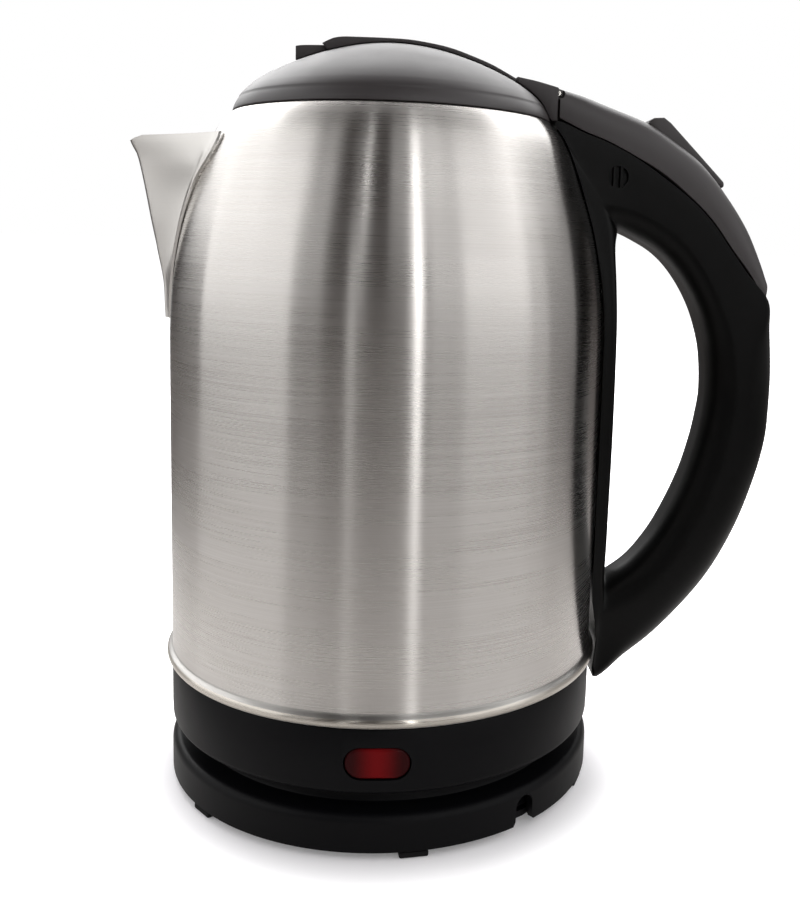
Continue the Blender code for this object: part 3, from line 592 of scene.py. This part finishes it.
spout_bm = bmesh.new()
rows = []
for z in [145.0 + 2.3 * i for i in range(24)] + [199.6, 200.3, SPOUT_TOP]:
    outer, inner = spout_row(z)
    line = []
    for sign, pts in ((1, list(zip(outer, inner))[::-1]), (-1, list(zip(outer, inner))[1:])):
        for (ox, oy), (ix, iy) in pts:
            tip_drop = 1.6 * max(0.0, (z - 196.0) / 4.9) * math.exp(-(-ox - 81.0) ** 2 / 6.0)
            line.append((off_wall((ox, sign * oy, z - tip_drop), GAP + 0.8),
                         off_wall((ix, sign * iy, z - tip_drop), GAP + 0.04)))
    rows.append([(spout_bm.verts.new(o), spout_bm.verts.new(i)) for o, i in line])
for low_row, high_row in zip(rows, rows[1:]):
    for k in range(len(low_row) - 1):
        spout_bm.faces.new((low_row[k][0], low_row[k + 1][0], high_row[k + 1][0], high_row[k][0]))
        spout_bm.faces.new((low_row[k][1], low_row[k + 1][1], high_row[k + 1][1], high_row[k][1]))
    for k in (0, len(low_row) - 1):
        spout_bm.faces.new((low_row[k][0], low_row[k][1], high_row[k][1], high_row[k][0]))
for row in (rows[0], rows[-1]):
    for k in range(len(row) - 1):
        spout_bm.faces.new((row[k][0], row[k + 1][0], row[k + 1][1], row[k][1]))
beak = finish_mesh("spout_beak", spout_bm, [spout_steel], 50.0)
place(beak, "kettle", "brushed_steel", "spout")

# ------------------------------------------------------------------ handle hoop
# The hoop, station by station: x and z of the inner and of the outer side, half widths there, how
# flat the outer side is, and how far it wraps round the jug
HANDLE = [
    (70.9, 171.0, 64.9, 171.0, 13.5, 14.2, 1.0, 1.0), (71.6, 175.2, 61.5, 184.5, 13.5, 14.2, 1.0, 1.0),
    (72.2, 175.9, 57.2, 196.8, 13.5, 14.0, 1.0, 1.0), (73.0, 176.0, 51.2, 209.9, 13.4, 13.6, 1.0, 1.0),
    (75.0, 175.2, 59.5, 207.6, 13.2, 13.6, 1.0, 0.0), (78.4, 173.6, 68.0, 205.8, 13.0, 13.6, 1.0, 0.0),
    (84.8, 170.0, 79.3, 200.8, 13.0, 13.5, 1.0, 0.0), (91.1, 164.3, 94.7, 190.9, 13.0, 13.5, 1.0, 0.0),
    (96.2, 157.2, 103.5, 182.8, 13.0, 13.5, 1.0, 0.0), (100.0, 149.8, 110.8, 172.7, 13.0, 13.3, 1.0, 0.0),
    (102.5, 141.5, 116.2, 164.8, 13.0, 13.0, 1.0, 0.0), (103.6, 134.9, 120.7, 155.7, 13.0, 13.0, 0.9, 0.0),
    (104.1, 128.5, 123.7, 146.6, 13.0, 13.0, 0.2, 0.0), (104.1, 122.0, 125.5, 134.0, 13.0, 13.0, 0.0, 0.0),
    (103.2, 115.0, 125.8, 121.0, 13.0, 13.0, 0.0, 0.0), (101.8, 107.8, 125.2, 109.0, 13.0, 13.0, 0.0, 0.0),
    (98.9, 97.4, 122.0, 94.8, 13.0, 13.0, 0.0, 0.0), (94.7, 87.0, 116.0, 77.8, 13.0, 13.0, 0.0, 0.0),
    (89.1, 76.5, 106.8, 60.9, 12.8, 12.8, 0.0, 0.0), (82.2, 67.8, 92.6, 44.2, 12.5, 12.5, 0.0, 0.0),
    (76.0, 62.9, 81.0, 34.6, 12.2, 11.6, 0.2, 0.3), (73.4, 61.4, 70.9, 26.4, 12.0, 8.0, 0.6, 0.3),
    (72.9, 62.8, 70.5, 45.0, 12.0, 12.0, 1.0, 0.8), (72.7, 67.0, 69.0, 58.0, 12.2, 12.5, 1.0, 1.0),
    (72.6, 80.0, 69.0, 80.0, 12.5, 13.0, 1.0, 1.0), (72.8, 104.0, 69.0, 104.0, 13.0, 13.6, 1.0, 1.0),
    (72.8, 125.0, 69.0, 125.0, 13.2, 14.0, 1.0, 1.0), (72.5, 146.0, 68.8, 146.0, 13.4, 14.2, 1.0, 1.0),
    (71.7, 160.0, 67.4, 160.0, 13.5, 14.2, 1.0, 1.0)]
# At each x: how far the seam under the top cover lies below the straight run, along the seam's own
# normal, and the x part of that normal
SEAM_DROP = [(51.0, 1.2), (59.5, 2.0), (68.0, 3.2), (73.7, 3.7), (83.0, 3.8), (92.3, 4.2), (99.5, 4.2),
             (103.0, 4.2), (108.0, 3.9), (114.0, 3.3), (118.0, 2.5), (121.0, 1.6)]
SEAM_LEAN = [(51.0, 0.05), (59.5, 0.3), (68.0, 0.35), (73.7, 0.4), (83.0, 0.5), (92.3, 0.62), (99.5, 0.7),
             (103.0, 0.76), (108.0, 0.82), (114.0, 0.86), (118.0, 0.9), (121.0, 0.93)]


def seam(x, z):
    """Move a point of the straight run down to the real seam."""
    drop = hermite(SEAM_DROP, x)
    lean = hermite(SEAM_LEAN, x)
    return (x - drop * lean, z - drop * math.sqrt(1 - lean * lean))


SOFT_CORNER = 10.5
TIGHT_CORNER = 0.3


def hoop_ring(row):
    """Cross-section of the hoop: soft corners on the finger side, tight ones where it is flat."""
    px, pz, qx, qz, wide_p, wide_q, flat, wrap = row
    deep = math.hypot(qx - px, qz - pz)
    flat = min(max(flat, 0.0), 1.0)  # the spline overshoots a little
    near = min(SOFT_CORNER, deep * 0.42, wide_p - 1.0)
    far = TIGHT_CORNER + (min(SOFT_CORNER, deep * 0.46) - TIGHT_CORNER) * (1 - flat)
    half = [(deep, 0.0), (deep, (wide_q - far) * 0.5)]
    half += arc(deep - far, wide_q - far, far, 0.0, 90.0, 8)
    half += [((deep - far) * 0.62 + near * 0.38, wide_q * 0.6 + wide_p * 0.4)]
    half += [((deep - far) * 0.3 + near * 0.7, wide_q * 0.3 + wide_p * 0.7)]
    half += arc(near, wide_p - near, near, 90.0, 180.0, 10)
    half += [(0.0, (wide_p - near) * 0.5), (0.0, 0.0)]
    ring = []
    for side, pts in ((1, half), (-1, half[-2:0:-1])):
        for d, w in pts:
            u = d / deep
            y = side * w
            x = px + (qx - px) * u
            z = pz + (qz - pz) * u
            bend = kettle_r(z)
            x -= max(wrap, 0.0) * (0.5 + 0.5 * u) * (bend - math.sqrt(bend * bend - y * y))
            ring.append(off_wall((x, y, z), GAP + 0.2))
    return ring


UNDER_COVER = range(3, 11)  # the stations whose outer side is the seam
stations = []
for i, row in enumerate(HANDLE):
    outer_side = seam(*row[2:4]) if i in UNDER_COVER else row[2:4]
    stations.append(row[:2] + outer_side + row[4:])
hoop_rings = [hoop_ring(row) for row in spline_rows(stations, 6, True)]
hoop = finish_mesh("handle_hoop", skin_rings(hoop_rings, True), [body_plastic])
for side in (-1, 1):
    vent = tool(rod((VENT[0], side * 11.8, VENT[1]), (VENT[0], side * 16.0, VENT[1]), 3.3, 32))
    low, high = sorted((side * 11.0, side * 13.3))
    cut(vent, [tool(block((VENT[0] + x - 0.4, low, VENT[1] - 4.0), (VENT[0] + x + 0.4, high, VENT[1] + 4.0)))
               for x in (-1.1, 1.1)])
    cut(hoop, [vent])
screw_head = rod((80.0, 0.0, 26.0), (80.0, 0.0, 38.5), 3.2)
screw_hole = rod((80.0, 0.0, 38.0), (80.0, 0.0, 50.5), 1.8)
cut(hoop, [tool(screw_head), tool(screw_hole)])
place(hoop, "kettle", "black_plastic", "handle_body")

# ------------------------------------------------------------------ handle's top cover
# The cover, station by station: x and z of its seam side and of its top, and its half width
COVER = [
    (50.95, 211.4, 50.95, 219.4, 12.4), (59.5, 208.3, 59.3, 217.7, 13.0), (68.0, 206.4, 69.0, 214.5, 13.4),
    (79.4, 201.5, 80.8, 210.2, 13.5), (86.6, 197.6, 89.7, 204.7, 13.5), (94.9, 191.7, 98.2, 198.5, 13.5),
    (103.7, 183.5, 106.4, 189.2, 13.5), (111.0, 173.4, 113.5, 179.1, 13.3),
    (116.5, 165.4, 118.1, 169.4, 13.0),
    (120.9, 156.6, 120.7, 162.3, 12.6)]
# Half of its section: share of the height, share of the half width
COVER_SECTION = [(-0.02, 0.0), (-0.02, 0.5), (-0.02, 0.985), (-0.005, 1.0), (0.02, 1.005), (0.22, 1.0),
                 (0.36, 0.99), (0.48, 0.97), (0.59, 0.94), (0.68, 0.9), (0.76, 0.85), (0.83, 0.78),
                 (0.89, 0.68), (0.94, 0.55), (0.975, 0.38), (0.993, 0.19), (1.0, 0.0)]
cover_rows = spline_rows([seam(row[0], row[1]) + row[2:] for row in COVER], 6)
cover_rings = []
for k, (px, pz, qx, qz, wide) in enumerate(cover_rows):
    ring = []
    square = 1.0 - 0.6 * max(0.0, 1.0 - k / 9.0)  # squarer towards the hinge, to meet the hinge block
    for side, pts in ((1, COVER_SECTION), (-1, COVER_SECTION[-2:0:-1])):
        for u, v in pts:
            ring.append((px + (qx - px) * u, side * min(v, 1.0) ** square * wide, pz + (qz - pz) * u))
    cover_rings.append(ring)
cover = finish_mesh("handle_top", skin_rings(cover_rings), [lid_plastic])
back_len = math.hypot(ROCKER_TO[0] - ROCKER_AT[0], ROCKER_TO[1] - ROCKER_AT[1])
BACK = ((ROCKER_TO[0] - ROCKER_AT[0]) / back_len, (ROCKER_TO[1] - ROCKER_AT[1]) / back_len)


def on_back(s, n):
    """A point s along the rocker's bed and n above it."""
    return (ROCKER_AT[0] + BACK[0] * s - BACK[1] * n, ROCKER_AT[1] + BACK[1] * s + BACK[0] * n)


def barrel(y0, y1, radius):
    """A round bar on the lid's hinge axis."""
    return tool(rod((HINGE[0], y0, HINGE[1]), (HINGE[0], y1, HINGE[1]), radius, 32))


def rocker_bar(half_length, radius):
    """A round bar on the rocker's axis."""
    x, z = on_back(14.0, -1.0)
    return rod((x, -half_length, z), (x, half_length, z), radius)


well = [on_back(s, n) for s, n in ((-2.9, -0.5), (-2.6, -4.0), (14.0, -4.9), (29.5, -3.6), (30.5, 0.0),
                                   (30.5, 8.0), (-2.9, 8.0))]
cut(cover, [tool(prism_y(well, -ROCKER_W - GAP, ROCKER_W + GAP)), tool(rocker_bar(8.3, 1.3)),
            barrel(-4.4, 4.4, HINGE_NEST), barrel(8.45, 14.0, HINGE_NEST), barrel(-14.0, -8.45, HINGE_NEST)])
cut(cover, [barrel(4.4, 8.4, BARREL_R - 0.35), barrel(-8.4, -4.4, BARREL_R - 0.35)], "UNION")
cut(cover, [barrel(-10.0, 10.0, PIN_R + GAP)])
place(cover, "kettle", "black_plastic", "handle_cover")

rocker_line = [on_back(s, n) for s, n in ((-1.9, -0.9), (14.0, -3.7), (29.2, -1.2), (29.8, -0.1),
                                          (28.8, 1.0), (16.0, 2.7), (3.6, 4.3), (0.8, 4.2), (-1.6, 2.1),
                                          (-2.3, 0.3))]
rocker = finish_mesh("rocker_key", prism_y(rocker_line, -ROCKER_W, ROCKER_W), [lid_plastic])
soften(rocker, 0.7)
cut(rocker, [tool(rocker_bar(9.0, 1.3))])
place(rocker, "rocker", "black_plastic", "rocker_switch")
axle = finish_mesh("rocker_axle", rocker_bar(8.1, 1.0), [bright_metal])
place(soften(axle, 0.15, 2), "kettle", "bright_steel", "rocker_pin")

# ------------------------------------------------------------------ lid
dome_line = [(0.0, 231.1)]
r = 2.0
while r < 45.0:
    dome_line.append((r, hermite(DOME, r)))
    r += 2.15
# A shallow step above the lip, the lip, then the underside back to the middle
dome_line += [(45.6, 215.2), (46.5, 214.25), (47.2, 213.4), (47.45, 213.0), (47.5, 212.7), (47.9, 212.15),
              (48.5, 211.1), (49.0, 210.0), (49.25, 209.2), (49.3, 208.85), (49.15, 208.6), (48.9, 208.55),
              (47.3, 208.6), (46.6, 210.8), (44.9, 213.8), (42.0, 215.9), (39.1, 217.6), (35.3, 219.6),
              (29.4, 222.3), (23.5, 224.6), (17.6, 226.4), (11.8, 227.8), (5.9, 228.6), (0.0, 228.9)]
dome = finish_mesh("lid_shell", lathe(dome_line), [lid_plastic])
cut(dome, [tool(block((-26.2, -3.2, 220.0), (-15.6, 3.2, 232.0)))])
place(dome, "lid", "lid_plastic", "lid_dome")


def saddle(xs, ys, top, bottom):
    """A solid between two height fields over a grid of xs and ys."""
    bm = bmesh.new()
    grids = [[[bm.verts.new((x, y, height(x, y))) for y in ys] for x in xs] for height in (top, bottom)]
    for grid in grids:
        for i in range(len(xs) - 1):
            for j in range(len(ys) - 1):
                bm.faces.new((grid[i][j], grid[i + 1][j], grid[i + 1][j + 1], grid[i][j + 1]))
    upper, lower = grids
    for i in range(len(xs) - 1):
        for j in (0, len(ys) - 1):
            bm.faces.new((upper[i][j], upper[i + 1][j], lower[i + 1][j], lower[i][j]))
    for j in range(len(ys) - 1):
        for i in (0, len(xs) - 1):
            bm.faces.new((upper[i][j], upper[i][j + 1], lower[i][j + 1], lower[i][j]))
    return bm


STRAP_LINE = [(-21.6, 230.3), (-20.2, 231.05), (-18.6, 231.8), (-16.8, 232.25), (-14.0, 232.45),
              (3.0, 232.45), (11.0, 231.6), (17.3, 230.4), (23.6, 228.4), (30.0, 226.0), (37.1, 222.4)]
STRAP_W = 11.0
CHANNEL_W = 9.4


def strap_top(x, y):
    return min(hermite(STRAP_LINE, x) - 1.0 * (abs(y) / STRAP_W) ** 3, 232.46)


def strap_bottom(x, y):
    """Side walls reach the dome and are cut back under the front lip; the latch slides between them."""
    if abs(y) > CHANNEL_W + 0.1:
        foot = max(dome_z(x, y) + SEAT, 229.3 - 1.25 * (x + 21.6))
        return min(foot, strap_top(x, y) - 0.45)
    return max(dome_z(x, y) + SEAT, strap_top(x, y) - 1.3,
               min(230.95, strap_top(x, y) - 0.55) if x < 0.0 else 0.0)


def spread(low, high, count):
    return [low + (high - low) * k / (count - 1) for k in range(count)]


strap_xs = [-21.6, -21.3, -20.8, -20.3] + spread(-19.8, 37.1, 42)
edge_ys = [9.45, 9.8, 10.3, 10.7, STRAP_W]
strap_ys = [-y for y in edge_ys[::-1]] + spread(-CHANNEL_W, CHANNEL_W, 13) + edge_ys
strap = finish_mesh("lid_bridge", saddle(strap_xs, strap_ys, strap_top, strap_bottom), [lid_plastic])
soften(strap, 0.35, 2, 50.0)
latch_room = block((-23.0, -9.3, 224.0), (-15.0, 9.3, 230.8))
cut(strap, [tool(latch_room)])
place(strap, "lid", "lid_plastic", "lid_strap")

BUTTON_TOP = [(-29.8, 228.9), (-28.0, 229.2), (-24.0, 229.4), (-20.0, 229.5), (-17.5, 229.5)]


def button_top(x, y):
    return hermite(BUTTON_TOP, x) - 0.4 * (abs(y) / BUTTON_W) ** 4


def button_bottom(x, y):
    return dome_z(x, y) + SEAT


button_bm = saddle(spread(-29.8, -17.5, 14), spread(-BUTTON_W, BUTTON_W, 15), button_top, button_bottom)
button = finish_mesh("latch_key", button_bm, [lid_plastic])
place(soften(button, 0.6), "latch", "lid_plastic", "latch_button")

KNUCKLE_LINE = [(37.4, 222.2), (44.0, 221.0), (50.55, 219.4)]


def knuckle_top(x, y):
    return hermite(KNUCKLE_LINE, x) - 0.25 * (abs(y) / KNUCKLE_W) ** 4


def knuckle_bottom(x, y):
    foot = 209.0
    return max(dome_z(x, y) + SEAT, foot) if math.hypot(x, y) < DOME[-1][0] else foot


knuckle_bm = saddle(spread(37.4, 50.55, 16), spread(-KNUCKLE_W, KNUCKLE_W, 21), knuckle_top, knuckle_bottom)
knuckle = finish_mesh("hinge_block", knuckle_bm, [lid_plastic])
soften(knuckle, 0.5)
cut(knuckle, [barrel(4.1, 8.7, HINGE_NEST), barrel(-8.7, -4.1, HINGE_NEST)])
cut(knuckle, [barrel(-4.1, 4.1, BARREL_R)], "UNION")
cut(knuckle, [barrel(-6.0, 6.0, PIN_R + GAP)])
place(knuckle, "lid", "lid_plastic", "hinge_knuckle")

# Collar in the mouth, with a soft top edge
collar_line = [(45.8, 201.0), (48.4, 201.0), (48.4, 207.6), (48.1, 208.0), (46.2, 208.0), (45.8, 207.6)]
collar = finish_mesh("mouth_ring", lathe(collar_line), [body_plastic])
place(collar, "kettle", "black_plastic", "mouth_collar")

# ------------------------------------------------------------------ nodes kept from the frame
SLOT_LOOKS = {
    "black_plastic": base_plastic, "lid_plastic": lid_plastic, "foot_rubber": rubber,
    "brushed_steel": inner_steel,
    "bright_steel": bright_metal, "brass": brass, "aluminium": aluminium, "red_lens": red_lens,
    "cream_plastic": cream, "lamp_glass": lamp_glass, "silicone": silicone}
for part in frame["record"]["subparts"]:
    kept = frame["nodes"][part["node"]]
    for place_for in kept.material_slots:
        place_for.material = SLOT_LOOKS[part["material_slot"]]

# ------------------------------------------------------------------ studio
def paper_floor():
    """White paper sweep. To the camera it glows clean white away from the kettle, and its glow is painted
    down close to it, a painted shade round the base where the lit soft shadow shows; to the steel and the
    plastic it shows as paper painted darker further out, with a faint painted glow close to the kettle."""
    mat = bpy.data.materials.new("white_paper_sweep")
    mat.use_nodes = True
    mat.node_tree.nodes.clear()
    where = node(mat, "ShaderNodeTexCoord")
    away = node(mat, "ShaderNodeVectorMath", {0: where.outputs["Object"]}, operation="LENGTH")
    # painted shade: the floor's glow is painted down close to the kettle, so the floor shows darker round the
    # base
    painted_shade_ramp = node(mat, "ShaderNodeMapRange", {"Value": away.outputs["Value"]}, From_Min=0.064, From_Max=0.098,
                To_Min=0.15, To_Max=1.1, interpolation_type="SMOOTHSTEP")
    fibre = node(mat, "ShaderNodeTexNoise", {"Vector": where.outputs["Object"]}, Scale=900.0, Detail=2.0)
    bump = node(mat, "ShaderNodeBump", {"Height": fibre.outputs["Fac"]}, Strength=0.02, Distance=DENT * MM)
    lit = node(mat, "ShaderNodeBsdfDiffuse", {"Normal": bump.outputs["Normal"]}, Color=colour("#f1eff2"))
    painted_glow = node(mat, "ShaderNodeEmission", {"Strength": painted_shade_ramp.outputs["Result"]}, Color=(1.0, 1.0, 1.0, 1.0))
    shown = node(mat, "ShaderNodeAddShader", {0: lit.outputs[0], 1: painted_glow.outputs[0]})
    # painted shade: to rays other than the camera's, the paper is painted darker further from the kettle
    edge = node(mat, "ShaderNodeMapRange", {"Value": away.outputs["Value"]}, From_Min=0.18, From_Max=0.5,
                interpolation_type="SMOOTHSTEP")
    painted_falloff_tone = node(mat, "ShaderNodeMix", {"Factor": edge.outputs["Result"]}, data_type="RGBA")
    painted_falloff_tone.inputs[6].default_value = colour("#d2cfcd")
    painted_falloff_tone.inputs[7].default_value = colour("#5c5856")
    bare = node(mat, "ShaderNodeBsdfDiffuse", {"Color": painted_falloff_tone.outputs[2]})
    # painted light: a faint glow painted on the paper close to the kettle, lighting the kettle from below
    near = node(mat, "ShaderNodeMapRange", {"Value": away.outputs["Value"]}, From_Min=0.12, From_Max=0.3,
                To_Min=0.16, To_Max=0.0, interpolation_type="SMOOTHSTEP")
    painted_bounce = node(mat, "ShaderNodeEmission", {"Strength": near.outputs["Result"]},
                  Color=(1.0, 0.99, 0.98, 1.0))
    table = node(mat, "ShaderNodeAddShader", {0: bare.outputs[0], 1: painted_bounce.outputs[0]})
    ray = node(mat, "ShaderNodeLightPath")
    choice = node(mat, "ShaderNodeMixShader", {0: ray.outputs["Is Camera Ray"], 1: table.outputs[0],
                                               2: shown.outputs[0]})
    node(mat, "ShaderNodeOutputMaterial", {"Surface": choice.outputs[0]})
    return mat


FLOOR_HALF = 30000.0
floor_bm = bmesh.new()
bmesh.ops.create_grid(floor_bm, x_segments=2, y_segments=2, size=FLOOR_HALF)
floor = finish_mesh("studio_floor", floor_bm, [paper_floor()])
floor.location.z = -0.0002

world = bpy.data.worlds.new("studio_air")
bpy.context.scene.world = world
world.use_nodes = True
world.node_tree.nodes.clear()
path = node(world, "ShaderNodeLightPath")
seen = node(world, "ShaderNodeBackground", Color=(1.0, 1.0, 1.0, 1.0))
room = node(world, "ShaderNodeBackground", Color=colour("#cfc6c4"), Strength=0.1)
choose = node(world, "ShaderNodeMixShader", {0: path.outputs["Is Camera Ray"], 1: room.outputs[0],
                                             2: seen.outputs[0]})
node(world, "ShaderNodeOutputWorld", {"Surface": choose.outputs[0]})
PANEL_FAR = 1.4  # metres from the kettle's axis


def panel(name, start, end, low, high, radiance):
    """Upright diffuser panel from one bearing to another, in degrees from -Y towards +X, and from one
    height to another, in metres."""
    width = 2 * PANEL_FAR * math.tan(math.radians(end - start) / 2)
    tall = high - low
    lamp = bpy.data.lights.new(name, "AREA")
    lamp.shape = "RECTANGLE"
    lamp.size = width
    lamp.size_y = tall
    lamp.energy = radiance * math.pi * width * tall
    obj = bpy.data.objects.new(name, lamp)
    a = math.radians((start + end) / 2)
    obj.location = (PANEL_FAR * math.sin(a), -PANEL_FAR * math.cos(a), (low + high) / 2)
    obj.rotation_euler = (math.radians(90.0), 0.0, a)
    obj.visible_camera = False
    bpy.context.collection.objects.link(obj)
    return obj


PANELS = [
    ("panel_left", -108.0, -50.0, 0.1, 1.8, 1.5),
    ("panel_left_high", -165.0, -108.0, 0.43, 2.0, 1.75),
    ("panel_left_edge", -50.0, -34.0, 0.35, 2.0, 0.7),
    ("strip_left", -20.5, -16.5, 0.0, 0.75, 1.05),
    ("strip_left_high", -16.3, -14.9, 0.8, 2.3, 5.0),
    ("gap_high", -1.0, 12.2, 0.7, 2.4, 0.55),
    ("strip_right", 12.2, 15.8, -0.3, 1.8, 5.0),
    ("panel_between", 20.0, 38.0, 0.1, 1.0, 0.85),
    ("panel_between_high", 17.0, 38.0, 1.1, 2.3, 1.6),
    ("panel_right", 38.0, 76.0, 0.1, 2.0, 1.42),
    ("panel_right_low", 76.0, 88.0, 0.0, 1.0, 0.75),
    ("panel_right_high", 76.0, 122.0, 1.0, 2.0, 1.7),
    ("wall_right", 88.0, 128.0, 0.0, 1.0, 0.35),
    ("backdrop", 156.0, 204.0, 0.0, 1.2, 0.3)]
for row in PANELS:
    panel(*row)
high = panel("softbox_high", 135.0, 225.0, 0.0, 1.5, 3.5)
high.location = (0.08, 1.12, 1.35)
high.rotation_euler = (math.radians(-46.0), 0.0, math.radians(-4.0))

# The camera stands in front, three quarters of the way up the kettle, and is turned slightly down, to
# the right and over
CAMERA_Y, CAMERA_Z = -0.345, 0.1716
camera = bpy.data.cameras.new("camera")
camera.lens = 41.95
camera.sensor_width = 36.0
camera.shift_x = -0.0879
camera.shift_y = -0.0710
camera.clip_start = 0.01
camera.clip_end = 100.0
camera_obj = bpy.data.objects.new("camera", camera)
pitch = math.radians(8.03)
yaw = math.radians(4.98)
roll = math.radians(1.739)
ahead = Vector((math.sin(yaw) * math.cos(pitch), math.cos(yaw) * math.cos(pitch), -math.sin(pitch)))
right = Vector((math.cos(yaw), -math.sin(yaw), 0.0))
up = right.cross(ahead)
right_rolled = right * math.cos(roll) + up * math.sin(roll)
up_rolled = up * math.cos(roll) - right * math.sin(roll)
camera_obj.matrix_world = Matrix((
    (right_rolled.x, up_rolled.x, -ahead.x, 0.0), (right_rolled.y, up_rolled.y, -ahead.y, CAMERA_Y),
    (right_rolled.z, up_rolled.z, -ahead.z, CAMERA_Z), (0.0, 0.0, 0.0, 1.0)))
bpy.context.collection.objects.link(camera_obj)
bpy.context.scene.camera = camera_obj
bpy.context.scene.view_settings.view_transform = "Standard"
